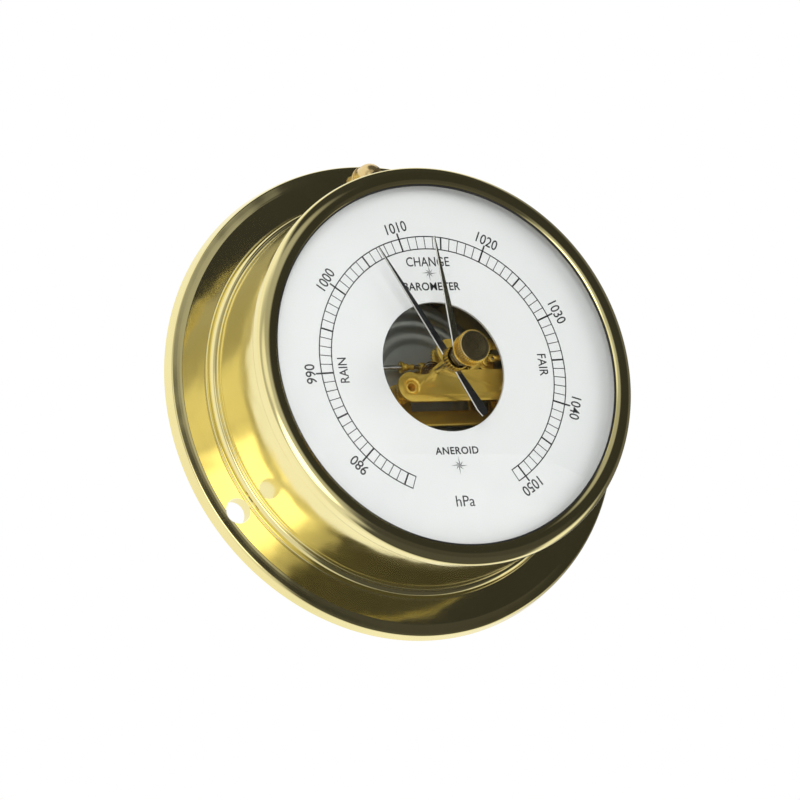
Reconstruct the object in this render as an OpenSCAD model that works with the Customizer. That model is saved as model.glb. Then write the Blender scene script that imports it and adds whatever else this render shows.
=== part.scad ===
// Ship's aneroid barometer in polished brass: a wall flange and drum, a white dial under domed glass,
// a set hand on a knurled knob, and the capsule, lever, sector and pinion that turn the pointer.
// Millimetres, +Z up, dial facing -Y, origin at the centre of the back face on the wall.

/* [Case] */
// Diameter of the wall flange
flange_d = 125; // [118:0.5:135]
// Thickness of the wall flange
flange_t = 3.8; // [3:0.1:5]
// Loss of radius over the flange's rim, from back to front
rim_draft = 0.7; // [0.3:0.1:1.5]
// Radius of the flange's rounded front corner
rim_round = 0.9; // [0.5:0.1:1.4]
// Width of the flange round the raised step
flange_w = 9.8; // [9:0.1:11]
// Height of the raised step above the flange
step_h = 2.8; // [1.5:0.1:4]
// Width of the raised step round the drum
step_w = 1.8; // [1.2:0.1:3.2]
// Wall thickness of the drum
shell_t = 1; // [0.8:0.1:1.4]
// Width of the ledge inside the drum that the back plate seats on
ledge_w = 1.7; // [1:0.1:2.5]
// Thickness of that ledge
ledge_t = 1.5; // [1:0.1:2.5]
/* [Fixings] */
// Distance from the flange's rim to the centre of a hole
hole_inset = 6.1; // [5:0.1:7]
// Diameter of a flange hole
hole_d = 6.5; // [5:0.1:7]
// Number of flange holes
hole_count = 3; // [3:1:6]
// Diameter of the wall screw's domed head
wall_head_d = 6.9; // [6:0.1:7.2]
// Height of the wall screw's domed head
wall_head_h = 5.7; // [4.5:0.1:7]
// Width of the thin collar round the foot of that head
wall_collar_w = 0.3; // [0.2:0.05:0.4]
// Thickness of that collar
wall_collar_t = 0.8; // [0.5:0.1:1.2]
// Thread diameter of the wall screw
wall_shank_d = 3; // [2.6:0.1:4.6]
// Length of the wall screw's shank behind the flange
wall_shank_l = 16; // [8:1:30]
// Turn of the wall screw's slot
wall_slot_turn = 35; // [0:5:180]
/* [Bezel and glass] */
// Amount by which the bezel's roll stands out past the drum
bezel_over = 0.6; // [0.3:0.1:1.2]
// Radius of the bezel's rolled front edge
bezel_roll = 2; // [1.5:0.1:2.5]
// Width of the bezel's lip, measured in from the drum's outside
lip_w = 4.2; // [3.6:0.1:4.9]
// Thickness of the bezel's lip
lip_t = 0.9; // [0.6:0.1:1.3]
// Thickness of the bezel's skirt inside the drum
skirt_t = 0.7; // [0.5:0.1:0.8]
// Depth of the bezel's skirt inside the drum
skirt_h = 4.4; // [3:0.2:5]
// Thickness of the glass
glass_t = 1.8; // [1.4:0.1:2.2]
// Rise of the domed glass above its flat rim
glass_rise = 9.2; // [8.6:0.1:10]
// Thickness of the seal under the glass
gasket_t = 0.4; // [0.3:0.1:0.8]
// Height of the spacer ring on the dial
spacer_h = 1; // [0.8:0.1:1.6]
/* [Dial] */
// Thickness of the dial
dial_t = 0.8; // [0.5:0.1:1.2]
// Diameter of the opening in the dial
opening_d = 33.3; // [30:0.1:35]
// Width of the dial's edge under the spacer ring
dial_edge = 1; // [0.7:0.1:1.5]
/* [Movement stack] */
// Distance from the wall to the back plate
back_recess = 1; // [0.9:0.1:1.6]
// Thickness of the back plate
back_plate_t = 1.5; // [1:0.1:2]
// Thickness of the movement's base
base_t = 1.5; // [1:0.1:2]
// Space from the movement's base to the capsule's carrier
carrier_gap = 1; // [0.8:0.1:1.5]
// Thickness of the capsule's carrier
carrier_t = 1.2; // [0.8:0.1:1.6]
// Height of the capsule with its foot
capsule_h = 9.4; // [9:0.1:10.5]
// Space from the capsule to the movement's frame
frame_gap = 1.2; // [0.9:0.1:2]
// Thickness of the frame, the bridge and the train plate
plate_t = 0.9; // [0.7:0.1:1.1]
// Space from the frame to the train plate
lower_gap = 2.2; // [2:0.1:2.6]
// Space from the train plate to the bridge
train_gap = 4; // [3.8:0.1:5]
// Space from the bridge to the dial
dial_gap = 3.2; // [2.5:0.1:4]
/* [Capsule] */
// Diameter of the capsule
capsule_d = 45; // [42:0.5:47]
// Thickness of the capsule's sheet
sheet_t = 0.35; // [0.25:0.05:0.5]
// Diameter of the flat middle of the capsule
capsule_flat_d = 20; // [18:0.5:22]
// Height of the corrugations
wave_h = 0.45; // [0.2:0.05:0.6]
// Number of corrugations
wave_n = 3; // [2:1:4]
// Diameter of the pin on top of the capsule
stud_d = 1.6; // [1.2:0.1:2]
/* [Train] */
// Gear module of the pinion and sector
gear_m = 0.25; // [0.24:0.005:0.26]
// Teeth on the pinion
pinion_n = 12; // [10:1:14]
// Teeth that a full wheel of the sector's size would have
sector_n = 120; // [116:1:124]
// Height of the sector's pivot above the dial's centre line
pivot_rise = 3.2; // [2.9:0.05:3.5]
// Thickness of the sector
sector_t = 0.8; // [0.5:0.05:0.9]
// Diameter of the rock shaft
rock_d = 1; // [0.8:0.1:1.2]
// Height of the rock shaft above the dial's centre line
rock_rise = 3.4; // [3.2:0.05:3.6]
// Distance from the rock shaft's axis down to the pin on the capsule
rock_drop = 0.7; // [0.6:0.05:0.9]
// Reach of the drive arm above the rock shaft's axis
drive_reach = 2.6; // [2.5:0.05:2.65]
// Distance from the sector's pivot to its drive pin
pin_offset = 1.69; // [1.6:0.01:1.8]
// Gap between parts that push on each other
push_gap = 0.15; // [0.12:0.01:0.2]
// Gap all round a turning shaft in its hole
run_gap = 0.03; // [0.02:0.01:0.06]
/* [Hands] */
// Length of the pointer from its axis to its tip
pointer_l = 33.2; // [30:0.1:33.6]
// Length of the pointer's tail
tail_l = 15.5; // [12:0.1:16]
// Width of the pointer at its hub
pointer_w = 2.1; // [1.6:0.1:2.6]
// Height of the pointer above the dial
pointer_z = 4; // [3.6:0.1:4.4]
// Thickness of the folded blades of both hands
blade_t = 0.5; // [0.3:0.05:0.7]
// Direction of the pointer at rest, clockwise from the top
pointer_az = -27; // [-150:1:150]
// Length of the set hand from its axis to its tip
set_l = 32; // [28:0.1:33]
// Width of the set hand at its hub
set_w = 2.5; // [1.8:0.1:3]
// Height of the set hand's foot above the dial
set_z = 8; // [7.6:0.1:8.4]
// Height of the set hand's tip above the dial
set_tip_z = 5.2; // [4.9:0.1:5.6]
// Direction of the set hand at rest, clockwise from the top
set_az = 0; // [-150:1:150]
/* [Knob] */
// Diameter of the knurled knob
knob_d = 8.4; // [7.5:0.1:9.5]
// Height of the knurled knob
knob_h = 4; // [3:0.1:5]
// Depth of the knob's knurling
knurl_depth = 0.25; // [0.1:0.05:0.4]
// Number of ridges round the knob
knurl_n = 44; // [24:2:60]
// Diameter of the set hand's spindle
spindle_d = 3; // [2.4:0.1:3.4]
// Diameter of the knurled collar on the glass
collar_d = 6.3; // [5.8:0.1:7]
// Height of the knurled collar on the glass
collar_h = 1.3; // [1:0.1:1.8]

/* [Hidden] */

// Facets of large rings, small rounds and tiny pins
$fn = 96;
FN_BIG = 180;
FN_PIN = 24;
// Overshoot of a cut past the face that it opens
CUT = 0.5;
// Gap between a part and the seat that it drops into
FIT = 0.1;

// Plain neck of the wall screw inside the flange, and the relief groove between it and the thread
neck_r = wall_shank_d / 2 + 0.25;
neck_end = 0.3;
groove_end = 0.8;
tip_l = 3;
// Radii worked out from the sizes above
flange_r = flange_d / 2;
step_r = flange_r - flange_w;
drum_r = step_r - step_w;
bore_r = drum_r - shell_t;
skirt_r = bore_r - FIT;
skirt_in_r = skirt_r - skirt_t;
lip_r = drum_r - lip_w;
dial_r = skirt_in_r - 2 * FIT;
dial_show_r = dial_r - dial_edge;
opening_r = opening_d / 2;
capsule_r = capsule_d / 2;
rock_r = rock_d / 2;
knob_r = knob_d / 2;
spindle_r = spindle_d / 2;
collar_r = collar_d / 2;
stud_r = stud_d / 2;
hole_circle_r = flange_r - hole_inset;
hole_r = hole_d / 2;

// Heights above the wall, from the back plate up to the knob
back_z = back_recess;
base_z = back_z + back_plate_t;
base_top = base_z + base_t;
carrier_z = base_top + carrier_gap;
capsule_z = carrier_z + carrier_t;
capsule_top = capsule_z + capsule_h;
frame_z = capsule_top + frame_gap;
frame_top = frame_z + plate_t;
train_z = frame_top + lower_gap;
train_top = train_z + plate_t;
bridge_z = train_top + train_gap;
bridge_top = bridge_z + plate_t;
dial_z = bridge_top + dial_gap;
dial_face = dial_z + dial_t;
drum_top = dial_face - FIT;
gasket_z = dial_face + spacer_h;
glass_z = gasket_z + gasket_t;
glass_rim_top = glass_z + glass_t;
lip_top = glass_rim_top + lip_t;

// Domed glass: the sphere through the edge of its flat rim
dome_r = lip_r - FIT;
sphere_r = (dome_r * dome_r + glass_rise * glass_rise) / (2 * glass_rise);
sphere_z = glass_rim_top + glass_rise - sphere_r;
glass_apex = glass_rim_top + glass_rise;
glass_hole_r = spindle_r + 1.1;
sleeve_r = glass_hole_r - FIT;
collar_top = glass_apex + collar_h;
washer_t = 0.3;
knob_z = collar_top + washer_t;
knob_round = 0.3;
// Nut under the glass, as wide as the collar
nut_t = 1.1;
nut_top = sphere_z + sqrt(pow(sphere_r - glass_t, 2) - collar_r * collar_r) - 0.02;
nut_z = nut_top - nut_t;

// Set hand's hub on the spindle, and the pointer's collet on its arbor
hub_h = 2;
set_hub_r = 3.2;
hub_drop = 2.2;
set_sleeve_r = spindle_r + 0.5;
set_blade_z = dial_face + set_z;
set_hub_z = set_blade_z - hub_h / 2;
pointer_plane = dial_face + pointer_z;
arbor_top = pointer_plane + 1.4;
spindle_z = set_blade_z - hub_drop + 0.1;
spindle_bore_r = spindle_r + run_gap;

// Posts, pillars and screws of the movement
post_circle_r = 30;
post_r = 2.5;
post_turn = 30;
pillar_x = 26;
pillar_r = 2.2;
bar_low = -11.8;
bar_high = -7.9;
bar_mid = (bar_low + bar_high) / 2;
base_r = 34;
lug_r = 3;
lug_h = 4;
lug_circle_r = bore_r - 2.7;
lug_turn = 60;
screw_r = 0.9;
head_r = 1.9;
head_h = 1;
small_head_h = 0.7;
slot_w = 0.5;
slot_depth = 0.45;

// Bridge posts: the left one is tubular and ends in the countersunk eye that shows beside the hub
left_post = [-7.3, -3.8];
right_post = [20.6, -4.1];
post_tube_r = 2.5;
post_shank_r = 1.55;
eye_r = 1.05;
eye_sink = 0.5;
bridge_high = 0.3;
bridge_end_r = 3.85;
bridge_right = 22.6;
arm_w = 3;
arm_y = 8.35;
tongue_w = 1.3;
tongue_r = 1;
tongue_a = asin(tongue_w / 2 / tongue_r);

// Gear train
pinion_pitch_r = gear_m * pinion_n / 2;
sector_pitch_r = gear_m * sector_n / 2;
gear_backlash = 0.1;
center_dist = pinion_pitch_r + sector_pitch_r + 0.02;
pivot = [sqrt(center_dist * center_dist - pivot_rise * pivot_rise), pivot_rise];
mesh_angle = atan2(pivot[1], pivot[0]);
arbor_r = 0.6;
pivot_pin_r = 0.35;
pivot_bore_r = pivot_pin_r + run_gap;
bridge_bore_r = arbor_r + run_gap;
sector_z = train_top + 0.6;
sector_top = sector_z + sector_t;
pinion_z = train_top + 0.4;
pinion_h = sector_t + 0.6;
spring_z = sector_top + 0.9;
spring_h = 0.6;
spring_t = 0.16;
spring_turns = 4;
spring_in_r = 1.3;
spring_out_r = 3.4;
spring_end = 235;
// The stud grips the spring's end and stays half a coil clear of the next turn
stud_reach = (spring_out_r - spring_in_r) / spring_turns / 2;
// Teeth of the sector before and after the one at rest, with a margin at each end
sector_first = -8;
sector_last = 6;
sector_rim = 2;
sector_hub_r = 1.7;
drive_pin_r = 0.3;

// Rock shaft between its two pivot screws
rock_z = capsule_top + 2.7;
rock_left = -12;
rock_right = 11.8;
rock_pivot_r = 0.35;
rock_pivot_l = 1;
lug_w = 1.5;
lug_top = rock_z + 1.5;
lug_half = 1.7;
screw_bore_r = 1;
pivot_head_r = 1.2;
pivot_head_l = 1.4;
bead_x = -4.6;
bead_r = 1;
bead_disc_r = 1.5;
bead_neck_r = 0.65;
bead_cap_r = 0.75;
lever_w = 1.2;
lever_over = 0.6;
lever_t = 0.8;
drive_x = 10.9;
drive_w = 1;
finger_t = 0.6;
finger_h = 0.7;
finger_end = pivot[0] - pin_offset + 0.45;
lever_low = rock_z - rock_drop + push_gap;
stud_top = rock_z - rock_drop;

// Adjusting screw through the back, under the free end of the capsule's carrier
adjust_x = 17;
adjust_r = 1.6;
adjust_head_r = 2.6;
adjust_head_h = 0.9;
carrier_w = 9;
carrier_x = 19.5;

// Turn a part built with its axis along +Z so that it hangs on the wall and faces -Y
module on_wall() rotate([90, 0, 0]) children();

// A disc or tube between two heights
module disc(r, z0, z1, fn = 96) translate([0, 0, z0]) cylinder(r = r, h = z1 - z0, $fn = fn);
module tube(r_out, r_in, z0, z1, fn = 96) difference() {
  disc(r_out, z0, z1, fn);
  disc(r_in, z0 - CUT, z1 + CUT, fn);
}
// A flat bar with round ends from one point to another
module bar(a, b, w, z0, z1) {
  d = b - a;
  translate([a[0], a[1], z0]) cylinder(r = w / 2, h = z1 - z0, $fn = 48);
  translate([b[0], b[1], z0]) cylinder(r = w / 2, h = z1 - z0, $fn = 48);
  translate([a[0], a[1], z0]) rotate([0, 0, atan2(d[1], d[0])])
    translate([0, -w / 2, 0]) cube([norm(d), w, z1 - z0]);
}
// Copies evenly spaced round the axis, clockwise from a first azimuth
module ring_of(n, r, first = 0) for (i = [0 : n - 1]) rotate([0, 0, -first - i * 360 / n])
  translate([0, r, 0]) children();
// A slotted cheese-head screw, its head standing on z = 0 and its shank below
module cheese_screw(r, h, shank_r, shank_l, turn = 0) difference() {
  union() {
    disc(r, 0, h, 48);
    disc(shank_r, -shank_l, 0.01, FN_PIN);
  }
  rotate([0, 0, turn]) translate([-r - CUT, -slot_w / 2, h - slot_depth]) cube([2 * (r + CUT), slot_w, h]);
}
// Points of an arc
function arc(cx, cy, r, a0, a1, n) = [for (i = [0 : n]) let (a = a0 + (a1 - a0) * i / n)
  [cx + r * cos(a), cy + r * sin(a)]];

// Spun case: flange, rounded rim, raised step and drum in one piece, with the ledge and screw lugs inside
module case_shell() on_wall() color("goldenrod") difference() {
  union() {
    rotate_extrude($fn = FN_BIG) polygon(concat(
      [[bore_r, 0], [flange_r, 0]],
      arc(flange_r - rim_draft - rim_round, flange_t - rim_round, rim_round, 4, 90, 6),
      arc(step_r + 0.6, flange_t + 0.6, 0.6, 270, 180, 4),
      arc(step_r - 0.7, flange_t + step_h - 0.7, 0.7, 0, 90, 5),
      arc(drum_r + 0.5, flange_t + step_h + 0.5, 0.5, 270, 180, 4),
      [[drum_r, drum_top], [bore_r, drum_top], [bore_r, base_z + ledge_t],
       [bore_r - ledge_w, base_z + ledge_t], [bore_r - ledge_w, base_z], [bore_r, base_z]]));
    intersection() {
      disc(bore_r + shell_t / 2, 0, drum_top, FN_BIG);
      ring_of(3, lug_circle_r, lug_turn) disc(lug_r, base_z, base_z + lug_h, 48);
    }
  }
  ring_of(hole_count, hole_circle_r) disc(hole_r, -CUT, flange_t + CUT, 64);
  ring_of(3, lug_circle_r, lug_turn) disc(screw_r + FIT, base_z - CUT, base_z + lug_h - 0.8, FN_PIN);
}

// Plate that closes the back, with the hole that lets a screwdriver reach the adjusting screw
module back_plate() on_wall() color("darkslategray") difference() {
  disc(bore_r - FIT, back_z, base_z, FN_BIG);
  ring_of(3, lug_circle_r, lug_turn) disc(screw_r + FIT, back_z - CUT, base_z + CUT, FN_PIN);
  ring_of(3, post_circle_r - 3, 90) disc(screw_r + FIT, back_z - CUT, base_z + CUT, FN_PIN);
  translate([adjust_x, 0, 0]) disc(adjust_head_r + 2 * FIT, back_z - CUT, base_z + CUT, 48);
}
module back_screws() on_wall() color("gold")
  ring_of(3, lug_circle_r, lug_turn) translate([0, 0, back_z]) mirror([0, 0, 1])
    cheese_screw(head_r, small_head_h, screw_r, back_plate_t + lug_h - 1.2, 20);

// Rolled bezel ring: lip over the glass, round front edge and a skirt inside the drum
module bezel() on_wall() color("goldenrod") {
  roll_x = drum_r + bezel_over - bezel_roll;
  roll_y = lip_top - bezel_roll;
  rotate_extrude($fn = FN_BIG) polygon(concat(
    [[lip_r, glass_rim_top]],
    arc(lip_r + lip_t / 2, lip_top - lip_t / 2, lip_t / 2, 180, 90, 5),
    arc(roll_x, roll_y, bezel_roll, 90, 0, 10),
    arc(drum_r + bezel_over / 2, drum_top + bezel_over / 2, bezel_over / 2, 0, -90, 4),
    [[skirt_r, drum_top], [skirt_r, drum_top - skirt_h], [skirt_in_r, drum_top - skirt_h],
     [skirt_in_r, glass_rim_top]]));
}

// Domed glass with a flat rim and a hole in the middle for the set hand's collar
module glass() on_wall() color("lightcyan", 0.4) {
  a = asin(dome_r / sphere_r);
  in_r = sphere_r - glass_t;
  b = acos((glass_z - sphere_z) / in_r);
  rotate_extrude($fn = FN_BIG) polygon(concat(
    [for (i = [0 : 24]) let (t = asin(glass_hole_r / sphere_r) * (1 - i / 24) + a * i / 24)
      [sphere_r * sin(t), sphere_z + sphere_r * cos(t)]],
    [[skirt_in_r - FIT, glass_rim_top], [skirt_in_r - FIT, glass_z]],
    [for (i = [24 : -1 : 0]) let (t = asin(glass_hole_r / in_r) * (1 - i / 24) + b * i / 24)
      [in_r * sin(t), sphere_z + in_r * cos(t)]]));
}
module glass_gasket() on_wall() color("black") tube(dial_r, dial_show_r, gasket_z, glass_z, FN_BIG);
module dial_spacer_ring() on_wall() color("darkkhaki")
  tube(dial_r, dial_show_r, dial_face, gasket_z, FN_BIG);
module dial() on_wall() color("white") tube(dial_r, opening_r, dial_z, dial_face, FN_BIG);

// Posts that carry the dial on the movement's base
module dial_posts() on_wall() color("gold")
  ring_of(3, post_circle_r, post_turn) disc(post_r, base_top, dial_z, 48);
module movement_base() on_wall() color("silver") difference() {
  disc(base_r, base_z, base_top);
  ring_of(3, post_circle_r - 3, 90) disc(screw_r + FIT, base_z - CUT, base_top + CUT, FN_PIN);
  translate([adjust_x, 0, 0]) disc(adjust_r + run_gap, base_z - CUT, base_top + CUT, 48);
}
module base_screws() on_wall() color("silver")
  ring_of(3, post_circle_r - 3, 90) translate([0, 0, base_top])
    cheese_screw(head_r, head_h, screw_r, base_t + back_plate_t, 50);

// Springy bar that carries the capsule; its fixed end stands on a foot, its free end on the adjusting screw
module capsule_carrier() on_wall() color("goldenrod") {
  bar([-carrier_x, 0], [carrier_x, 0], carrier_w, carrier_z, capsule_z);
  translate([-carrier_x, 0, 0]) disc(carrier_w / 2, base_top, carrier_z + 0.01, 48);
}
module adjusting_screw() on_wall() color("gold") translate([adjust_x, 0, 0]) difference() {
  union() {
    disc(adjust_r, base_z - 0.3, carrier_z - 0.05, 48);
    disc(adjust_head_r, base_z - 0.3 - adjust_head_h, base_z - 0.3, 48);
  }
  translate([-adjust_head_r - CUT, -slot_w * 0.7, base_z - 1.3 - slot_w])
    cube([2 * (adjust_head_r + CUT), slot_w * 1.4, slot_w + 0.5]);
}

// Half section of a corrugated diaphragm: height of its middle line at a radius
capsule_mid = capsule_top - (capsule_h - 2) / 2;
rise = capsule_top - sheet_t / 2 - capsule_mid - sheet_t / 2;
flat_r = capsule_flat_d / 2;
wave_end = capsule_r - 2.2;
function wave(r) = r <= flat_r ? 0 :
  let (t = min(1, (r - flat_r) / (wave_end - flat_r)))
  -rise * 0.35 * t + wave_h * (cos(360 * wave_n * t) - 1) / 2;
function dia_line() = concat([[0, 0], [flat_r, 0]],
  [for (i = [1 : 36]) let (r = flat_r + (wave_end - flat_r) * i / 36) [r, wave(r)]],
  [[capsule_r - 1.3, -rise + sheet_t / 2], [capsule_r, -rise + sheet_t / 2]]);
module diaphragm() {
  top = dia_line();
  n = len(top) - 1;
  rotate_extrude($fn = 120) polygon(concat(
    [for (p = top) [p[0], p[1] + sheet_t / 2]],
    [for (i = [n : -1 : 0]) [top[i][0], top[i][1] - sheet_t / 2]]));
}
module capsule_diaphragm() on_wall() color("slategray")
  translate([0, 0, capsule_top - sheet_t / 2]) diaphragm();
module capsule_lower() on_wall() color("slategray") {
  translate([0, 0, 2 * capsule_mid - capsule_top + sheet_t / 2 - 0.02]) mirror([0, 0, 1]) diaphragm();
  disc(3, capsule_z, 2 * capsule_mid - capsule_top + sheet_t / 2, 48);
}
module capsule_stud() on_wall() color("gold") {
  disc(3, capsule_top, capsule_top + 0.5, 48);
  disc(stud_r, capsule_top, stud_top, FN_PIN);
}

// Frame bar across the case, with ears for the bridge posts and arms that end in the rock shaft's lugs
module lug(x0) difference() {
  union() {
    translate([x0, bar_mid, frame_z]) cube([lug_w, rock_rise + lug_half - bar_mid, plate_t]);
    translate([x0, rock_rise - lug_half, frame_z]) cube([lug_w, 2 * lug_half, lug_top - frame_z]);
  }
  translate([x0 - CUT, rock_rise, rock_z]) rotate([0, 90, 0])
    cylinder(r = screw_bore_r + FIT / 2, h = lug_w + 2 * CUT, $fn = FN_PIN);
}
module movement_frame() on_wall() color("darkgoldenrod") difference() {
  union() {
    translate([-pillar_x, bar_low, frame_z]) cube([2 * pillar_x, bar_high - bar_low, plate_t]);
    for (s = [-1, 1]) translate([s * pillar_x, bar_mid, 0]) disc(3, frame_z, frame_top, 48);
    bar([left_post[0], bar_mid], left_post, 6, frame_z, frame_top);
    bar([right_post[0], bar_mid], right_post, 6, frame_z, frame_top);
    lug(rock_left - 0.3 - lug_w);
    lug(rock_right + 0.3);
  }
  for (s = [-1, 1]) translate([s * pillar_x, bar_mid, 0])
    disc(screw_r + FIT, frame_z - CUT, frame_top + CUT, FN_PIN);
}
module frame_pillars() on_wall() color("gold") for (s = [-1, 1]) translate([s * pillar_x, bar_mid, 0])
  difference() {
    disc(pillar_r, base_top, frame_z, 48);
    disc(screw_r + FIT, frame_z - 4, frame_z + CUT, FN_PIN);
  }
module frame_screws() on_wall() color("silver") for (s = [-1, 1])
  translate([s * pillar_x, bar_mid, frame_top]) cheese_screw(head_r, head_h, screw_r, plate_t + 3.6, 30);
// Pivot screws with a cup for each end of the rock shaft
module pivot_screw(side, face) translate([face, rock_rise, rock_z]) rotate([0, 90 * side, 0]) difference() {
  union() {
    disc(screw_bore_r, 0, lug_w + 0.3, FN_PIN);
    disc(pivot_head_r, lug_w + 0.3, lug_w + 0.3 + pivot_head_l, 32);
  }
  disc(rock_pivot_r + run_gap, -CUT, rock_pivot_l + 0.3, FN_PIN);
  translate([-slot_w / 2, -pivot_head_r - CUT, lug_w + pivot_head_l])
    cube([slot_w, 2 * (pivot_head_r + CUT), CUT]);
}
module pivot_screws() on_wall() color("silver") {
  pivot_screw(-1, rock_left);
  pivot_screw(1, rock_right);
}

// Train plate and bridge, with the bearings of the two gear arbors between them
function train_outline() = concat(arc(left_post[0], left_post[1], 2.5, 113.7, 293.7, 16), [[0.32, -3.19]],
  arc(right_post[0], right_post[1], 2.5, -99.6, 30, 12), [[pivot[0] + 3.6, 1.2]],
  arc(pivot[0], pivot[1], 1, -20, 200, 12), [[pivot[0] - 1, -0.3], [14, -0.44]],
  arc(0, -0.6, 2.5, 80.4, 110, 4));
module train_plate() on_wall() color("goldenrod") difference() {
  translate([0, 0, train_z]) linear_extrude(plate_t) polygon(train_outline());
  disc(pivot_bore_r, train_z - CUT, train_top + CUT, FN_PIN);
  translate(pivot) disc(pivot_bore_r, train_z - CUT, train_top + CUT, FN_PIN);
  for (p = [left_post, right_post]) translate(p)
    disc(post_shank_r + run_gap, train_z - CUT, train_top + CUT, 32);
}
module plate_posts() on_wall() color("gold") for (p = [left_post, right_post]) translate(p) difference() {
  union() {
    disc(post_tube_r, frame_top, train_z, 48);
    disc(post_shank_r, train_z - 0.01, bridge_top - eye_sink, 32);
  }
  disc(eye_r, frame_top + CUT, bridge_top + CUT, 32);
}
module post_tubes() on_wall() color("gold") for (p = [left_post, right_post]) translate(p)
  tube(post_tube_r, post_shank_r + run_gap, train_top, bridge_z, 48);
// Bridge outline, and the slot above it that leaves a tongue for the sector's bearing
function bridge_outline() = concat(
  arc(left_post[0], left_post[1], bridge_end_r, 90, 270, 18),
  arc(bridge_right - 1, left_post[1] - bridge_end_r + 1, 1, 270, 360, 4),
  arc(bridge_right - 1, arm_y - 1, 1, 0, 90, 4),
  [[4.2, arm_y], [2.2, arm_y - 0.55], [1.2, arm_y - 1.75], [1.1, 4.5], [1.9, 2.75],
   [-1.1, 0.75], [-1.95, -0.4], [-3.6, -0.75], [-5.2, -0.75], [-6.2, -0.35]]);
function slot_outline() = concat([[6.2, bridge_high], [5.4, 1.5], [6.4, arm_y - arm_w],
  [bridge_right - arm_w, arm_y - arm_w], [bridge_right - arm_w, pivot[1] + tongue_w / 2]],
  arc(pivot[0], pivot[1], tongue_r, tongue_a, 360 - tongue_a, 16),
  [[bridge_right - arm_w, pivot[1] - tongue_w / 2], [bridge_right - arm_w, bridge_high]]);
module bridge_plate() on_wall() color("goldenrod") difference() {
  translate([0, 0, bridge_z]) linear_extrude(plate_t) polygon(bridge_outline());
  translate([0, 0, bridge_z - CUT]) linear_extrude(plate_t + 2 * CUT) polygon(slot_outline());
  disc(bridge_bore_r, bridge_z - CUT, bridge_top + CUT, FN_PIN);
  translate(pivot) disc(pivot_bore_r, bridge_z - CUT, bridge_top + CUT, FN_PIN);
  for (p = [left_post, right_post]) translate(p) {
    disc(post_shank_r + run_gap, bridge_z - CUT, bridge_top + CUT, 32);
    translate([0, 0, bridge_top - eye_sink])
      cylinder(r1 = post_shank_r + run_gap, r2 = post_shank_r + eye_sink + run_gap, h = eye_sink + 0.01,
        $fn = 48);
  }
}
module bridge_screw() on_wall() color("silver") translate([right_post[0], right_post[1], bridge_top])
  cheese_screw(2.6, head_h, eye_r - FIT, 3, 70);

// Involute tooth: points of one flank pair about the +X axis, from root to tip
function inv_angle(rb, r) = r <= rb ? 0 : let (t = sqrt(r * r / (rb * rb) - 1)) t * 180 / PI - atan(t);
function flank(rp, n, r, play) = let (rb = rp * cos(20))
  90 / n - play * 180 / (PI * rp) / 2 + inv_angle(rb, rp) - inv_angle(rb, r);
function tooth(rp, n, root, tip, at, play) = let (
  rs = [root, root + (tip - root) * 0.45, root + (tip - root) * 0.75, tip])
  concat([for (r = rs) let (a = at - flank(rp, n, r, play)) [r * cos(a), r * sin(a)]],
         [for (i = [3 : -1 : 0]) let (r = rs[i], a = at + flank(rp, n, r, play)) [r * cos(a), r * sin(a)]]);
module pinion_arbor() on_wall() color("silver") {
  root = pinion_pitch_r - 1.05 * gear_m;
  tip = pinion_pitch_r + 0.8 * gear_m;
  translate([0, 0, pinion_z]) linear_extrude(pinion_h) rotate([0, 0, mesh_angle])
    polygon([for (k = [0 : pinion_n - 1]) each
      tooth(pinion_pitch_r, pinion_n, root, tip, k * 360 / pinion_n, gear_backlash)]);
  disc(arbor_r, train_top + 0.1, arbor_top, FN_PIN);
  disc(pivot_pin_r, train_z, train_top + 0.11, FN_PIN);
}
module hairspring_collet() on_wall() color("gold")
  tube(spring_in_r - 0.1, arbor_r + 0.01, spring_z - 0.2, spring_z + spring_h + 0.2, 32);
// Flat spiral spring from the collet out to its stud; t runs from 0 at the collet to 1 at the stud
function coil_r(t) = spring_in_r + (spring_out_r - spring_in_r) * t;
function coil_point(t, side) = let (
  a = spring_end - spring_turns * 360 * (1 - t),
  r = coil_r(t) + side * spring_t / 2) [r * cos(a), r * sin(a)];
module hairspring() on_wall() color("steelblue") {
  steps = spring_turns * 30;
  translate([0, 0, spring_z]) linear_extrude(spring_h) polygon(concat(
    [for (i = [0 : steps]) coil_point(i / steps, 1)],
    [for (i = [steps : -1 : 0]) coil_point(i / steps, -1)]));
}
module hairspring_stud() on_wall() color("gold") rotate([0, 0, spring_end])
  translate([spring_out_r - stud_reach, 0.05, spring_z - 0.2])
    cube([stud_reach + 0.6, 1, bridge_z - spring_z + 0.2]);

// Sector: toothed rim, two spokes and hub, turning on its own arbor
module sector_gear() on_wall() color("gold") translate([pivot[0], pivot[1], sector_z]) {
  root = sector_pitch_r - 1.05 * gear_m;
  tip = sector_pitch_r + 0.6 * gear_m;
  pitch = 360 / sector_n;
  face = mesh_angle + 180;
  first = face + (sector_first - 0.5) * pitch;
  last = face + (sector_last + 1.5) * pitch;
  difference() {
    union() {
      difference() {
        linear_extrude(sector_t) polygon(concat(
          [[0, 0]], [[root * cos(first), root * sin(first)]],
          [for (k = [sector_first : sector_last]) each
            tooth(sector_pitch_r, sector_n, root, tip, face + (k + 0.5) * pitch, gear_backlash)],
          [[root * cos(last), root * sin(last)]]));
        translate([0, 0, -CUT]) linear_extrude(sector_t + 2 * CUT) polygon(concat(
          arc(0, 0, root - sector_rim, last - 6, first + 6, 12),
          arc(0, 0, 4.6, first + 16, last - 16, 4)));
      }
      disc(sector_hub_r + 0.6, 0, sector_t, 48);
      disc(sector_hub_r - 0.4, 0, sector_t + 0.7, 48);
    }
    disc(arbor_r + 0.01, -CUT, sector_t + 2, FN_PIN);
  }
}
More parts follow.
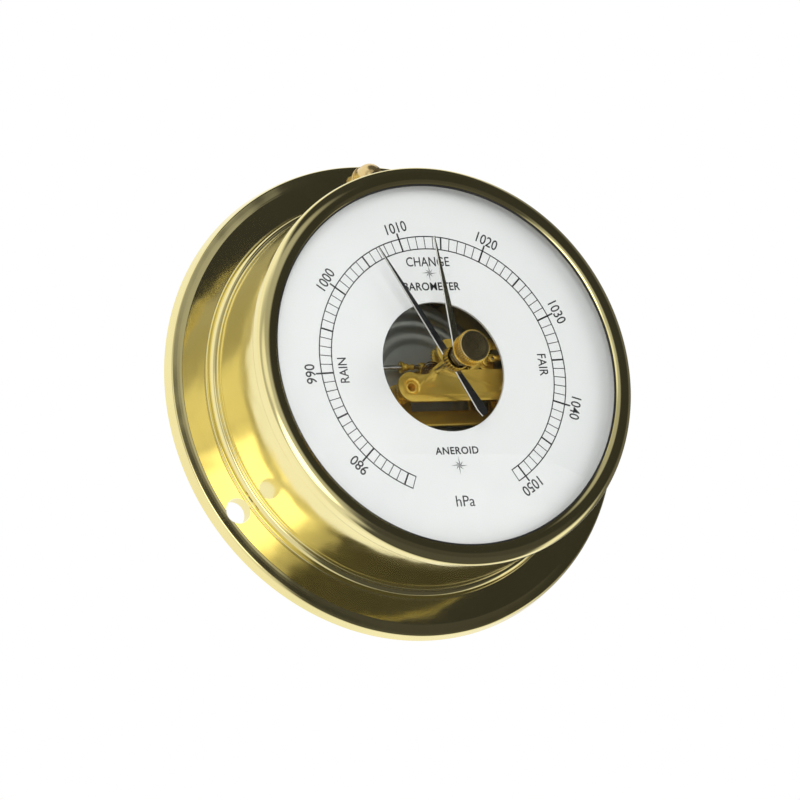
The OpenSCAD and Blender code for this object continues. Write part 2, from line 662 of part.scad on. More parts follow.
module sector_arbor() on_wall() color("silver") translate(pivot) {
  disc(arbor_r, train_top + 0.1, bridge_z - 0.1, FN_PIN);
  disc(pivot_pin_r, train_z, bridge_top, FN_PIN);
}
module drive_pin() on_wall() color("silver") translate([pivot[0] - pin_offset, pivot[1], 0])
  disc(drive_pin_r, rock_z + drive_reach - 0.4, sector_z, FN_PIN);

// Rock shaft and the parts clamped on it
module along_rock(x0, x1, r, fn = 32) translate([x0, rock_rise, rock_z]) rotate([0, 90, 0])
  cylinder(r = r, h = x1 - x0, $fn = fn);
module rock_shaft() on_wall() color("silver") {
  along_rock(rock_left + 0.2, rock_right - 0.2, rock_r);
  along_rock(rock_left - rock_pivot_l + 0.1, rock_right + rock_pivot_l - 0.1, rock_pivot_r, FN_PIN);
}
module shaft_bead() on_wall() color("gold") translate([bead_x, rock_rise, rock_z]) rotate([0, 90, 0]) {
  neck_a = acos(bead_neck_r / bead_r);
  rotate_extrude($fn = 40) polygon(concat(
    [[rock_r + 0.01, -1.4], [bead_disc_r, -1.4], [bead_disc_r, -1], [bead_neck_r, -1]],
    arc(0, 0, bead_r, -neck_a, neck_a, 10),
    [[bead_neck_r, 1.75], [bead_cap_r, 1.75], [bead_cap_r, 2.15], [rock_r + 0.01, 2.15]]));
}
module capsule_lever() on_wall() color("gold") difference() {
  union() {
    along_rock(-lever_w / 2, lever_w / 2, rock_r + 0.6);
    translate([-lever_w / 2, -lever_over, lever_low]) cube([lever_w, rock_rise + lever_over, lever_t]);
  }
  along_rock(-lever_w, lever_w, rock_r + 0.01);
}
module drive_arm() on_wall() color("gold") {
  face_y = pivot[1] + drive_pin_r + push_gap;
  top = rock_z + drive_reach + 0.2;
  difference() {
    union() {
      along_rock(drive_x - drive_w / 2, drive_x + drive_w / 2, rock_r + 0.6);
      translate([drive_x - drive_w / 2, face_y - 0.5, rock_z]) cube([drive_w, finger_t + 0.5, top - rock_z]);
      translate([drive_x - drive_w / 2, face_y, top - finger_h])
        cube([finger_end - drive_x + drive_w / 2, finger_t, finger_h]);
    }
    along_rock(drive_x - drive_w, drive_x + drive_w, rock_r + 0.01);
  }
}

// Folded blade along +Y, flat underneath with a ridge down the middle; each section is [y, width, z]
module blade(sections, t) {
  n = len(sections);
  polyhedron(
    points = [for (s = sections) each
      [[-s[1] / 2, s[0], s[2]], [s[1] / 2, s[0], s[2]], [0, s[0], s[2] + t]]],
    faces = concat([[2, 1, 0], [3 * n - 2, 3 * n - 1, 3 * n - 3]],
      [for (i = [0 : n - 2]) let (a = 3 * i, b = a + 3) each
        [[b + 1, b, a], [a + 1, b + 1, a], [b + 2, b + 1, a + 1], [a + 2, b + 2, a + 1],
            [b, b + 2, a + 2], [a, b, a + 2]]]));
}
module pointer() on_wall() color("black")
  rotate([0, 0, -pointer_az]) translate([0, 0, pointer_plane]) difference() {
  union() {
    blade([[-0.2, pointer_w, 0], [pointer_l, 0.35, 0]], blade_t);
    rotate([0, 0, 180]) blade([[-0.2, pointer_w * 0.8, 0], [tail_l, pointer_w * 1.35, 0]], blade_t);
    cylinder(r = pointer_w * 0.8, h = blade_t, $fn = 48);
  }
  translate([0, 0, -CUT]) cylinder(r = arbor_r + 0.4, h = 2, $fn = FN_PIN);
  translate([0, -tail_l, -CUT]) rotate([0, 0, 45]) cube([1.5, 1.5, 3], center = true);
}
module pointer_collet() on_wall() color("gold") difference() {
  union() {
    disc(1.5, pointer_plane - 0.8, pointer_plane, 40);
    disc(arbor_r + 0.4 - 0.01, pointer_plane - 0.01, pointer_plane + blade_t + 0.3, FN_PIN);
    disc(1.3, pointer_plane + blade_t, pointer_plane + 1.2, 40);
  }
  disc(arbor_r + 0.01, pointer_plane - 2, pointer_plane + 3, FN_PIN);
}

// Set hand, bent down from its hub towards the dial, with the spindle and the knob in front of the glass
module set_hand() on_wall() color("olive") rotate([0, 0, -set_az]) difference() {
  union() {
    blade([[-0.2, set_w, set_blade_z], [set_hub_r + 0.3, set_w * 0.9, set_blade_z],
      [set_l, 0.35, dial_face + set_tip_z]], blade_t);
    translate([0, 0, set_blade_z]) cylinder(r = set_w * 0.95, h = blade_t, $fn = 48);
  }
  disc(set_sleeve_r + 0.01, set_blade_z - 2, set_blade_z + 3, 48);
}
module set_hand_hub() on_wall() color("gold") difference() {
  union() {
    knurled(set_hub_r, 24, 0.2, set_blade_z - hub_drop, set_blade_z);
    disc(set_sleeve_r, set_blade_z - 0.01, set_blade_z + blade_t + 0.01, 48);
    disc(set_sleeve_r + 0.5, set_blade_z + blade_t, set_hub_z + hub_h, 48);
  }
  disc(spindle_r + 0.01, set_hub_z - 2, set_hub_z + hub_h + 2, 48);
}
module set_spindle() on_wall() color("gold") disc(spindle_r, spindle_z, knob_z + knob_h - 1.2, 48);
module knurled(r, n, depth, z0, z1) translate([0, 0, z0]) linear_extrude(z1 - z0)
  polygon([for (i = [0 : 2 * n - 1]) let (a = i * 180 / n, q = i % 2 == 0 ? r : r - depth)
    [q * cos(a), q * sin(a)]]);
module set_knob() on_wall() color("gold") difference() {
  union() {
    disc(knob_r - knurl_depth - FIT, knob_z, knob_z + 1, 64);
    knurled(knob_r, knurl_n, knurl_depth, knob_z + 0.5, knob_z + knob_h - knob_round);
    translate([0, 0, knob_z + knob_h - knob_round])
      cylinder(r1 = knob_r - knurl_depth - FIT, r2 = knob_r - knurl_depth - knob_round, h = knob_round,
        $fn = 64);
  }
  disc(spindle_r + 0.01, knob_z - CUT, knob_z + knob_h - 1.2, 48);
}
// Knurled collar that holds the spindle's sleeve in the glass, and the nut under the glass
module glass_collar() on_wall() color("dimgray") difference() {
  union() {
    knurled(collar_r, 30, 0.2, glass_apex, collar_top);
    disc(sleeve_r, nut_z, glass_apex + 0.01, 48);
  }
  disc(spindle_bore_r, nut_z - CUT, collar_top + CUT, 48);
}
module glass_nut() on_wall() color("dimgray") difference() {
  translate([0, 0, nut_z]) cylinder(r = collar_r, h = nut_t, $fn = 6);
  disc(sleeve_r + 0.01, nut_z - CUT, nut_top + CUT, 48);
}
module friction_washer() on_wall() color("silver")
  tube(spindle_r + 1, spindle_bore_r, collar_top, knob_z, 48);

// Domed slotted screw that hangs the barometer: its neck bears on the upper edge of the top hole
module wall_screw() on_wall() color("gold")
  translate([0, hole_circle_r + hole_r - neck_r - run_gap, 0]) difference() {
  head_r = wall_head_d / 2;
  union() {
    disc(head_r + wall_collar_w, flange_t, flange_t + wall_collar_t, 64);
    translate([0, 0, flange_t + wall_collar_t]) disc(head_r, 0, wall_head_h - head_r, 64);
    intersection() {
      translate([0, 0, flange_t + wall_collar_t + wall_head_h - head_r]) sphere(r = head_r, $fn = 64);
      disc(head_r + 1, flange_t + wall_collar_t, flange_t + wall_head_h + 2, 64);
    }
    disc(neck_r, -neck_end, flange_t + 0.01, 32);
    disc(wall_shank_d / 2 - 0.3, -groove_end - 0.01, -neck_end + 0.01, 32);
    disc(wall_shank_d / 2, -wall_shank_l + tip_l, -groove_end, 32);
    translate([0, 0, -wall_shank_l]) cylinder(r1 = 0.4, r2 = wall_shank_d / 2, h = tip_l, $fn = 32);
  }
  rotate([0, 0, wall_slot_turn])
    translate([-head_r - 1, -0.45, flange_t + wall_collar_t + wall_head_h - 1.6])
      cube([2 * head_r + 2, 0.9, 3]);
}

case_shell();
back_plate();
back_screws();
bezel();
glass();
glass_gasket();
dial_spacer_ring();
dial();
dial_posts();
movement_base();
base_screws();
capsule_carrier();
capsule_lower();
movement_frame();
frame_pillars();
frame_screws();
train_plate();
plate_posts();
post_tubes();
bridge_plate();
bridge_screw();
hairspring_stud();
pivot_screws();
glass_collar();
glass_nut();
friction_washer();
wall_screw();
pinion_arbor();
hairspring_collet();
hairspring();
pointer();
pointer_collet();
sector_gear();
sector_arbor();
drive_pin();
rock_shaft();
shaft_bead();
capsule_lever();
drive_arm();
capsule_diaphragm();
capsule_stud();
set_hand();
set_hand_hub();
set_spindle();
set_knob();
adjusting_screw();
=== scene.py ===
import math

import bmesh
import bpy
from mathutils import Matrix, Vector


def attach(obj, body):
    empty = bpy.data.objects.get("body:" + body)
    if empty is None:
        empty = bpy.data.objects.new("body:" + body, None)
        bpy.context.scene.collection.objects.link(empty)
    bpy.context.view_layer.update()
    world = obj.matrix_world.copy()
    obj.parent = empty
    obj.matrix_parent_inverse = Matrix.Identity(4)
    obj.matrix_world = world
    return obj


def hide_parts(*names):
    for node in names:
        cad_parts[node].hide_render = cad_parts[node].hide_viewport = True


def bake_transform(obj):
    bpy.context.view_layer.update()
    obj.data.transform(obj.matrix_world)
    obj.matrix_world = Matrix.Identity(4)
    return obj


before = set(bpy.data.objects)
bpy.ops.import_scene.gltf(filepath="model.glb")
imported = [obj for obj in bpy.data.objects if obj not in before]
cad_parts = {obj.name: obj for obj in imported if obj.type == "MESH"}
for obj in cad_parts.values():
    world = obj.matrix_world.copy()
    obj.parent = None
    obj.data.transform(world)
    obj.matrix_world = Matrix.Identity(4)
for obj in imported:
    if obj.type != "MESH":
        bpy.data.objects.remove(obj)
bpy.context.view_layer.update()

# Ship's aneroid barometer. The case hangs on a wall behind it, so +Y is the wall and the dial faces -Y.
# Sizes are in millimetres here: a turned piece is drawn as (radius, height above the wall).
MM = 0.001

# Heights above the wall and radii, as in the solids
FLANGE_R, FLANGE_T = 62.5, 3.8
STEP_R, STEP_TOP = 52.7, 6.6
DRUM_R, DRUM_BORE_R, DRUM_TOP = 50.9, 49.9, 29.6
BACK_FACE, BACK_SEAT, BACK_R = 1.0, 2.5, 49.8
LEDGE_R, LEDGE_TOP = 48.2, 4.0
BACK_SCREW_CIRCLE_R, BASE_SCREW_CIRCLE_R, SMALL_HOLE_R = 47.2, 27.0, 1.0
ADJUSTER_X, ADJUSTER_HOLE_R = 17.0, 2.8
HOLE_CIRCLE_R, HOLE_R, SCREW_Y = 56.4, 3.25, 57.87
DIAL_BACK, DIAL_FACE = 28.9, 29.7
DIAL_R, DIAL_SHOW_R, OPENING_R = 48.9, 47.9, 16.65
SPACER_TOP, GLASS_SEAT, GLASS_RIM_TOP, LIP_TOP = 30.7, 31.1, 32.9, 33.8
LIP_R, SKIRT_R, SKIRT_IN_R = 46.7, 49.8, 49.1
GLASS_APEX, GLASS_T, SLEEVE_ROOM = 42.1, 1.8, 1.1
POINTER_Z, SET_HAND_Z, SET_TIP_Z = 33.7, 37.7, 34.9
HUB_R, HUB_LOW, HUB_TOP = 3.2, 35.5, 38.7
SPINDLE_R, SPINDLE_LOW, SPINDLE_TOP = 1.5, 35.6, 46.4
KNOB_Z, KNOB_TOP, KNOB_R = 43.7, 47.7, 4.2
COLLAR_R, COLLAR_TOP, SLEEVE_R = 3.15, 43.4, 2.5
RIDGE_DEPTH, HUB_RIDGES, KNOB_RIDGES, COLLAR_RIDGES = 0.3, 24, 44, 30
SCREW_HEAD_R, SCREW_HEAD_H, SCREW_COLLAR_T, SCREW_SHANK_L = 3.45, 5.7, 0.8, 16
CAPSULE_R, CAPSULE_RIM_R, CAPSULE_LOW, CAPSULE_TOP, SHEET_T = 22.5, 21.2, 8.2, 15.6, 0.35
WAVES_FROM_R, WAVES_TO_R, WAVES, WAVE_H = 10.0, 20.3, 3, 0.45
POINTER_AZ, SET_AZ = -27.0, 0.0
SCALE_LOW, SCALE_HIGH, SCALE_MID, DEG_PER_HPA = 974, 1051, 1013, 4.0
TRACK_IN_R, TRACK_OUT_R, LONG_MARK_R = 30.5, 33.73, 35.3

# Scales of the noises in the finishes, and the range of each noise that makes the whole change
SPECKLE_SCALE, SMEAR_SCALE, SWELL_SCALE, GLOSS_SCALE, GLASS_SCALE = 900.0, 120.0, 90.0, 300.0, 90.0
TONE_RANGE, SPECKLE_RANGE, SMEAR_RANGE, GLOSS_RANGE = (0.35, 0.65), (0.62, 0.72), (0.45, 1.05), (0.3, 0.7)

# Angles in degrees past which an edge is shaded sharp or broken
SHARP, SHARP_SPUN, SHARP_WAVED, SHARP_BROKEN, SHARP_SMALL, BROKEN = 32, 50, 60, 40, 35, 35


# ---- node trees -----------------------------------------------------------------------------------------------

def put(tree, kind, settings=None, **sockets):
    """A new node with its settings, and each named input set to a value or linked to a socket."""
    made = tree.nodes.new(kind)
    for key, value in (settings or {}).items():
        setattr(made, key, value)
    for key, value in sockets.items():
        feed(tree, made, key.replace("_", " "), value)
    return made


def feed(tree, made, key, value):
    spot = made.inputs[int(key)] if key.isdigit() else made.inputs[key]
    if isinstance(value, bpy.types.NodeSocket):
        tree.links.new(value, spot)
    else:
        spot.default_value = value


def sums(tree, operation, a, b=0.0):
    made = tree.nodes.new("ShaderNodeMath")
    made.operation = operation
    feed(tree, made, "0", a)
    feed(tree, made, "1", b)
    return made.outputs[0]


def span(tree, value, low, high, from_low=0.0, from_high=1.0):
    made = tree.nodes.new("ShaderNodeMapRange")
    for key, number in (("Value", value), ("From Min", from_low), ("From Max", from_high), ("To Min", low),
                        ("To Max", high)):
        feed(tree, made, key, number)
    return made.outputs[0]


def blend_colour(tree, share, a, b):
    made = tree.nodes.new("ShaderNodeMix")
    made.data_type = "RGBA"
    feed(tree, made, "0", share)
    feed(tree, made, "6", a if isinstance(a, bpy.types.NodeSocket) else (*a, 1))
    feed(tree, made, "7", b if isinstance(b, bpy.types.NodeSocket) else (*b, 1))
    return made.outputs[2]


def clouds(tree, where, scale, detail=3.0, rough=0.55):
    made = put(tree, "ShaderNodeTexNoise", Vector=where, Scale=scale, Detail=detail, Roughness=rough)
    return made.outputs["Fac"]


def fresh_material(name):
    made = bpy.data.materials.new(name)
    made.use_nodes = True
    tree = made.node_tree
    shader = tree.nodes["Principled BSDF"]
    where = tree.nodes.new("ShaderNodeTexCoord").outputs["Object"]
    return made, tree, shader, where


def turning_lines(tree, where, fine):
    """Rings left by the lathe: noise that depends only on the distance from the dial's axis and on the depth."""
    parts = put(tree, "ShaderNodeSeparateXYZ", Vector=where)
    x, y, z = (parts.outputs[i] for i in range(3))
    radius = sums(tree, "SQRT", sums(tree, "ADD", sums(tree, "MULTIPLY", x, x), sums(tree, "MULTIPLY", z, z)))
    flat = put(tree, "ShaderNodeCombineXYZ", X=radius, Y=y)
    return clouds(tree, flat.outputs[0], fine, 2.0)


def metal(name, bright, deep, rough, lines=0.0, lines_fine=9000.0, cloud=28.0, bump=0.02, turned=True,
          speckle=0.0, swell=0.0, bare=1.0):
    """Bare metal: two tones in soft clouds, uneven polish, and turning or brushing lines over a low swell."""
    made, tree, shader, where = fresh_material(name)
    soft = clouds(tree, where, cloud, 4.0)
    shader.inputs["Metallic"].default_value = bare
    share = span(tree, soft, 0, 1, *TONE_RANGE)
    colour = blend_colour(tree, share, deep, bright)
    if speckle:
        spots = span(tree, clouds(tree, where, SPECKLE_SCALE, 2.0), 0, speckle, *SPECKLE_RANGE)
        colour = blend_colour(tree, spots, colour, tuple(0.45 * c for c in deep))
    feed(tree, shader, "Base Color", colour)
    smear = clouds(tree, where, SMEAR_SCALE)
    if turned:
        rings = turning_lines(tree, where, lines_fine)
    else:
        stretched = put(tree, "ShaderNodeMapping", Vector=where)
        stretched.inputs["Scale"].default_value = (0.05, 1.0, 1.0)
        rings = clouds(tree, stretched.outputs[0], lines_fine, 2.0)
    feed(tree, shader, "Roughness", span(tree, sums(tree, "ADD", smear, sums(tree, "MULTIPLY", rings, 0.5)),
                                         *rough, *SMEAR_RANGE))
    if swell:
        low = put(tree, "ShaderNodeBump", Strength=1.0, Distance=1.0,
                  Height=sums(tree, "MULTIPLY", clouds(tree, where, SWELL_SCALE, 1.0), swell * MM))
        feed(tree, shader, "Normal", low.outputs[0])
    if lines:
        raised = put(tree, "ShaderNodeBump", Height=rings, Strength=lines, Distance=bump * MM)
        if swell:
            feed(tree, raised, "Normal", low.outputs[0])
        feed(tree, shader, "Normal", raised.outputs[0])
    return made


def paint(name, colour, other, rough, grain=0.0, grain_scale=3000.0, cloud=60.0, coat=0.0):
    """Paint or enamel: a faint change of tone, uneven gloss and a fine orange peel."""
    made, tree, shader, where = fresh_material(name)
    share = span(tree, clouds(tree, where, cloud), 0, 1, *TONE_RANGE)
    feed(tree, shader, "Base Color", blend_colour(tree, share, colour, other))
    feed(tree, shader, "Roughness", span(tree, clouds(tree, where, GLOSS_SCALE), *rough, *GLOSS_RANGE))
    if grain:
        peel = put(tree, "ShaderNodeBump", Height=clouds(tree, where, grain_scale), Strength=grain,
                   Distance=0.01 * MM)
        feed(tree, shader, "Normal", peel.outputs[0])
    if coat:
        shader.inputs["Coat Weight"].default_value = coat
        shader.inputs["Coat Roughness"].default_value = 0.08
    return made


def clear_glass(name):
    """Mineral glass that bends and mirrors light, and lets the lamps' light through."""
    made, tree, shader, where = fresh_material(name)
    feed(tree, shader, "Base Color", blend_colour(tree, clouds(tree, where, GLASS_SCALE), (0.97, 0.985, 0.975),
                                                  (0.985, 0.995, 0.99)))
    shader.inputs["Roughness"].default_value = 0.0
    shader.inputs["Transmission Weight"].default_value = 1.0
    shader.inputs["IOR"].default_value = 1.5
    open_air = tree.nodes.new("ShaderNodeBsdfTransparent")
    rays = tree.nodes.new("ShaderNodeLightPath")
    lit = sums(tree, "MAXIMUM", rays.outputs["Is Shadow Ray"], rays.outputs["Is Diffuse Ray"])
    both = tree.nodes.new("ShaderNodeMixShader")
    tree.links.new(lit, both.inputs[0])
    tree.links.new(shader.outputs[0], both.inputs[1])
    tree.links.new(open_air.outputs[0], both.inputs[2])
    tree.links.new(both.outputs[0], tree.nodes["Material Output"].inputs["Surface"])
    return made


# Each metal's bright and deep tones, its polish from and to, and what else sets it apart
METALS = {
    "polished_brass": ((0.93, 0.83, 0.42), (0.88, 0.77, 0.36), (0.08, 0.15), dict(lines=0.06, swell=0.22)),
    # The wall screw's brass is a deeper gold than the case's: painted shade for the darker things its domed head
    # mirrors.
    "screw_brass": ((0.86, 0.66, 0.32), (0.76, 0.57, 0.26), (0.16, 0.26), dict(lines=0.1, bare=0.9)),
    "ring_brass": ((0.93, 0.83, 0.42), (0.88, 0.77, 0.36), (0.06, 0.12), dict(lines=0.06)),
    "movement_brass": ((0.98, 0.68, 0.13), (0.86, 0.57, 0.09), (0.13, 0.22),
                       dict(lines=0.05, turned=False, cloud=160.0, bare=0.72)),
    "knob_brass": ((0.72, 0.60, 0.32), (0.56, 0.47, 0.24), (0.22, 0.34), dict(lines=0.2, cloud=260.0, speckle=0.2)),
    "set_hand_brass": ((0.40, 0.37, 0.25), (0.30, 0.28, 0.18), (0.18, 0.3),
                       dict(lines=0.1, turned=False, cloud=300.0)),
    "bright_edge": ((0.93, 0.92, 0.88), (0.8, 0.79, 0.74), (0.12, 0.25), dict(cloud=200.0)),
    "steel": ((0.72, 0.71, 0.68), (0.55, 0.54, 0.52), (0.16, 0.28), dict(lines=0.3, cloud=300.0)),
    "plated_base": ((0.72, 0.68, 0.52), (0.58, 0.55, 0.42), (0.3, 0.45),
                    dict(lines=0.25, cloud=70.0, speckle=0.2, bare=0.85)),
    "capsule_nickel": ((0.66, 0.68, 0.62), (0.52, 0.54, 0.49), (0.34, 0.5),
                       dict(lines=0.2, lines_fine=5000.0, cloud=60.0, bare=0.8)),
    "spring_bronze": ((0.30, 0.19, 0.10), (0.22, 0.14, 0.07), (0.15, 0.25), dict(cloud=400.0)),
    "collar_dark": ((0.30, 0.24, 0.13), (0.14, 0.11, 0.06), (0.2, 0.4), dict(lines=0.3, cloud=500.0, speckle=0.5)),
}
PAINTS = {
    "pointer_black": ((0.012, 0.012, 0.013), (0.02, 0.02, 0.021), (0.25, 0.4), dict(grain=0.2)),
    "dial_white": ((0.85, 0.86, 0.85), (0.83, 0.845, 0.835), (0.34, 0.44), dict(grain=0.08, coat=0.15)),
    "print_black": ((0.015, 0.015, 0.017), (0.028, 0.028, 0.03), (0.4, 0.55), dict(grain=0.2)),
    "back_plate_paint": ((0.018, 0.018, 0.02), (0.03, 0.03, 0.032), (0.35, 0.55),
                         dict(grain=0.7, grain_scale=1800.0)),
    # The seal's black also colours the thin ring under the bezel's lip, which is a painted reflection of the lip's
    # edge.
    "seal": ((0.02, 0.02, 0.02), (0.03, 0.03, 0.03), (0.6, 0.8), dict(grain=0.5)),
}


def finishes():
    """Every finish on the barometer, by its name."""
    made = {name: metal(name, *tones, **more) for name, (*tones, more) in METALS.items()}
    made.update({name: paint(name, *tones, **more) for name, (*tones, more) in PAINTS.items()})
    made["glass"] = clear_glass("glass")
    return made


# ---- shapes ----------------------------------------------------------------------------------------------------

def at(x, y, height):
    """A point x to the right, y up and so high above the wall, in the row frame in metres."""
    return Vector((x, -height, y)) * MM


def arc(cx, cy, r, first, last, count):
    steps = [math.radians(first + (last - first) * i / count) for i in range(count + 1)]
    return [(cx + r * math.cos(a), cy + r * math.sin(a)) for a in steps]


def rounded(corners, count=4):
    """A closed outline of (x, y, round) corners with each corner rounded off."""
    outline = []
    for i, (x, y, r) in enumerate(corners):
        if not r:
            outline.append((x, y))
            continue
        here = Vector((x, y))
        before = Vector(corners[i - 1][:2]) - here
        after = Vector(corners[(i + 1) % len(corners)][:2]) - here
        half = before.angle(after) / 2
        middle = here + (before.normalized() + after.normalized()).normalized() * (r / math.sin(half))
        start = here + before.normalized() * (r / math.tan(half)) - middle
        stop = here + after.normalized() * (r / math.tan(half)) - middle
        turn = start.angle_signed(stop)
        for k in range(count + 1):
            spot = middle + Matrix.Rotation(-turn * k / count, 2) @ start
            outline.append((spot.x, spot.y))
    return outline


def held(outline, edge):
    """The outline with a point close to each end of its long sides, so that smooth shading keeps them flat."""
    kept = []
    for i, spot in enumerate(outline):
        here, there = Vector(spot), Vector(outline[(i + 1) % len(outline)])
        kept.append(tuple(here))
        length = (there - here).length
        if length > 4 * edge:
            step = (there - here) * (edge / length)
            kept += [tuple(here + step), tuple(there - step)]
    return kept


def shade(mesh, sharp):
    """Smooth shading with every edge past the angle left sharp."""
    mesh.shade_smooth()
    mesh.set_sharp_from_angle(angle=math.radians(sharp))


def finish_mesh(name, bm, sharp=SHARP, flip_check=True):
    bmesh.ops.remove_doubles(bm, verts=bm.verts, dist=1e-7)
    if flip_check:
        bmesh.ops.recalc_face_normals(bm, faces=bm.faces)
    mesh = bpy.data.meshes.new(name)
    bm.to_mesh(mesh)
    bm.free()
    shade(mesh, sharp)
    made = bpy.data.objects.new(name, mesh)
    bpy.context.scene.collection.objects.link(made)
    return made


def spin_outline(bm, outline, count, centre):
    """Turns a closed outline of (radius, height) round an axis that stands on the wall at centre."""
    rings = []
    for k in range(count):
        a = 2 * math.pi * k / count
        ring = []
        for r, h in outline:
            ring.append(bm.verts.new(at(centre[0] + r * math.sin(a), centre[1] + r * math.cos(a), h)))
        rings.append(ring)
    for k in range(count):
        here, there = rings[k], rings[(k + 1) % count]
        for i in range(len(outline)):
            j = (i + 1) % len(outline)
            loop = []
            for corner in (here[i], there[i], there[j], here[j]):
                if not any((corner.co - other.co).length < 1e-9 for other in loop):
                    loop.append(corner)
            if len(loop) > 2:
                bm.faces.new(loop)


def turned(name, outline, count=240, centre=(0.0, 0.0), sharp=SHARP, edge=0.12):
    """A turned piece; edge is how near its long sides have a point to each end, or 0 for none."""
    bm = bmesh.new()
    spin_outline(bm, held(outline, edge) if edge else outline, count, centre)
    return finish_mesh(name, bm, sharp)


def extruded(name, outlines, low, high, rounding=0.08, centre=(0.0, 0.0), turn=0.0):
    """Flat plates cut from closed outlines of (x, y), with their edges broken."""
    bm = bmesh.new()
    spin = Matrix.Rotation(math.radians(turn), 2)
    for outline in outlines:
        places = [spin @ Vector(p) + Vector(centre) for p in outline]
        floor = [bm.verts.new(at(p.x, p.y, low)) for p in places]
        lid = [bm.verts.new(at(p.x, p.y, high)) for p in places]
        bm.faces.new(floor)
        bm.faces.new(lid)
        for i in range(len(places)):
            j = (i + 1) % len(places)
            bm.faces.new((floor[i], floor[j], lid[j], lid[i]))
    made = finish_mesh(name, bm)
    if rounding:
        break_edges(made, rounding)
    return made


def bake(made):
    """Turns an object with its modifiers into a plain mesh."""
    deps = bpy.context.evaluated_depsgraph_get()
    mesh = bpy.data.meshes.new_from_object(made.evaluated_get(deps))
    old = made.data
    made.modifiers.clear()
    made.data = mesh
    if isinstance(old, bpy.types.Mesh) and not old.users:
        bpy.data.meshes.remove(old)
    return made


def break_edges(made, width):
    bevel = made.modifiers.new("broken_edges", "BEVEL")
    bevel.width = width * MM
    bevel.segments = 2
    bevel.limit_method = "ANGLE"
    bevel.angle_limit = math.radians(BROKEN)
    bevel.harden_normals = True
    bake(made)
    shade(made.data, SHARP_BROKEN)


def drilled(made, *cutters):
    """Takes the cutters' shapes out of the piece."""
    for cutter in cutters:
        cut = made.modifiers.new("drill", "BOOLEAN")
        cut.operation = "DIFFERENCE"
        cut.solver = "EXACT"
        cut.object = cutter
    bake(made)
    for cutter in cutters:
        bpy.data.objects.remove(cutter)
    shade(made.data, SHARP)


def drill(x, y, r, low, high, count=64):
    return turned("cutter", [(0, low), (r, low), (r, high), (0, high)], count, (x, y), edge=0)


def round_place(radius, azimuth):
    a = math.radians(azimuth)
    return radius * math.sin(a), radius * math.cos(a)


def joined(name, parts):
    """Several finished meshes as one piece."""
    bm = bmesh.new()
    for part in parts:
        bm.from_mesh(part.data)
        bpy.data.objects.remove(part)
    return finish_mesh(name, bm, flip_check=False)


def dressed(node, width):
    """A copy of a CAD piece, its loose triangles merged and its edges broken so that they catch the light."""
    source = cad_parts[node]
    bm = bmesh.new()
    bm.from_mesh(source.data)
    bmesh.ops.remove_doubles(bm, verts=bm.verts, dist=2e-6)
    bmesh.ops.dissolve_degenerate(bm, dist=1e-6, edges=bm.edges)
    bmesh.ops.dissolve_limit(bm, angle_limit=math.radians(0.6), verts=bm.verts, edges=bm.edges)
    made = finish_mesh(node + "_dressed", bm, SHARP_SMALL, flip_check=False)
    break_edges(made, width)
    return made


def fit(made, finish, body, *nodes):
    """Gives the piece its finish and its body, and puts it in place of its CAD nodes."""
    if finish:
        made.data.materials.clear()
        made.data.materials.append(FINISH[finish])
    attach(made, body)
    if nodes:
        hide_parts(*nodes)


# ---- repeats, by Geometry Nodes --------------------------------------------------------------------------------

def new_tree(name, inputs):
    """An empty geometry tree with the named inputs; each is (name, kind)."""
    tree = bpy.data.node_groups.new(name, "GeometryNodeTree")
    tree.interface.new_socket("Geometry", in_out="OUTPUT", socket_type="NodeSocketGeometry")
    tree.interface.new_socket("Geometry", in_out="INPUT", socket_type="NodeSocketGeometry")
    for label, kind in inputs:
        tree.interface.new_socket(label, in_out="INPUT", socket_type="NodeSocket" + kind)
    return tree, tree.nodes.new("NodeGroupInput").outputs, tree.nodes.new("NodeGroupOutput").inputs


def close_tree(tree, geometry, material, out):
    """Ends a tree with real geometry and its material."""
    real = put(tree, "GeometryNodeRealizeInstances", Geometry=geometry)
    coated = put(tree, "GeometryNodeSetMaterial", Geometry=real.outputs[0], Material=material)
    tree.links.new(coated.outputs[0], out[0])


def ring_spots(tree, given):
    """Points round the dial's axis, clockwise from a first azimuth, and the turn of each."""
    index = tree.nodes.new("GeometryNodeInputIndex").outputs[0]
    turn = sums(tree, "ADD", given["First Azimuth"], sums(tree, "MULTIPLY", given["Step"], index))
    turn = sums(tree, "RADIANS", turn)
    line = put(tree, "GeometryNodeMeshLine", Count=given["Count"])
    line.inputs["Offset"].default_value = (0, 0, 0)
    spot = put(tree, "ShaderNodeCombineXYZ",
               X=sums(tree, "MULTIPLY", given["Radius"], sums(tree, "SINE", turn)),
               Y=sums(tree, "MULTIPLY", given["Height"], -1.0),
               Z=sums(tree, "MULTIPLY", given["Radius"], sums(tree, "COSINE", turn)))
    spots = put(tree, "GeometryNodeSetPosition", Geometry=line.outputs[0], Position=spot.outputs[0])
    turned_by = put(tree, "ShaderNodeCombineXYZ", Y=turn)
    return spots.outputs[0], turned_by.outputs[0]


RING = [("Count", "Int"), ("First Azimuth", "Float"), ("Step", "Float"), ("Radius", "Float"), ("Height", "Float")]


def marks_tree():
    """Scale marks: thin bars that stand round the dial."""
    sizes = [("Width", "Float"), ("Length", "Float"), ("Thickness", "Float"), ("Ink", "Material")]
    tree, given, out = new_tree("scale_marks", RING + sizes)
    spots, turns = ring_spots(tree, given)
    size = put(tree, "ShaderNodeCombineXYZ", X=given["Width"], Y=given["Thickness"], Z=given["Length"])
    bar = put(tree, "GeometryNodeMeshCube", Size=size.outputs[0])
    ring = put(tree, "GeometryNodeInstanceOnPoints", Points=spots, Instance=bar.outputs[0], Rotation=turns)
    close_tree(tree, ring.outputs[0], given["Ink"], out)
    return tree


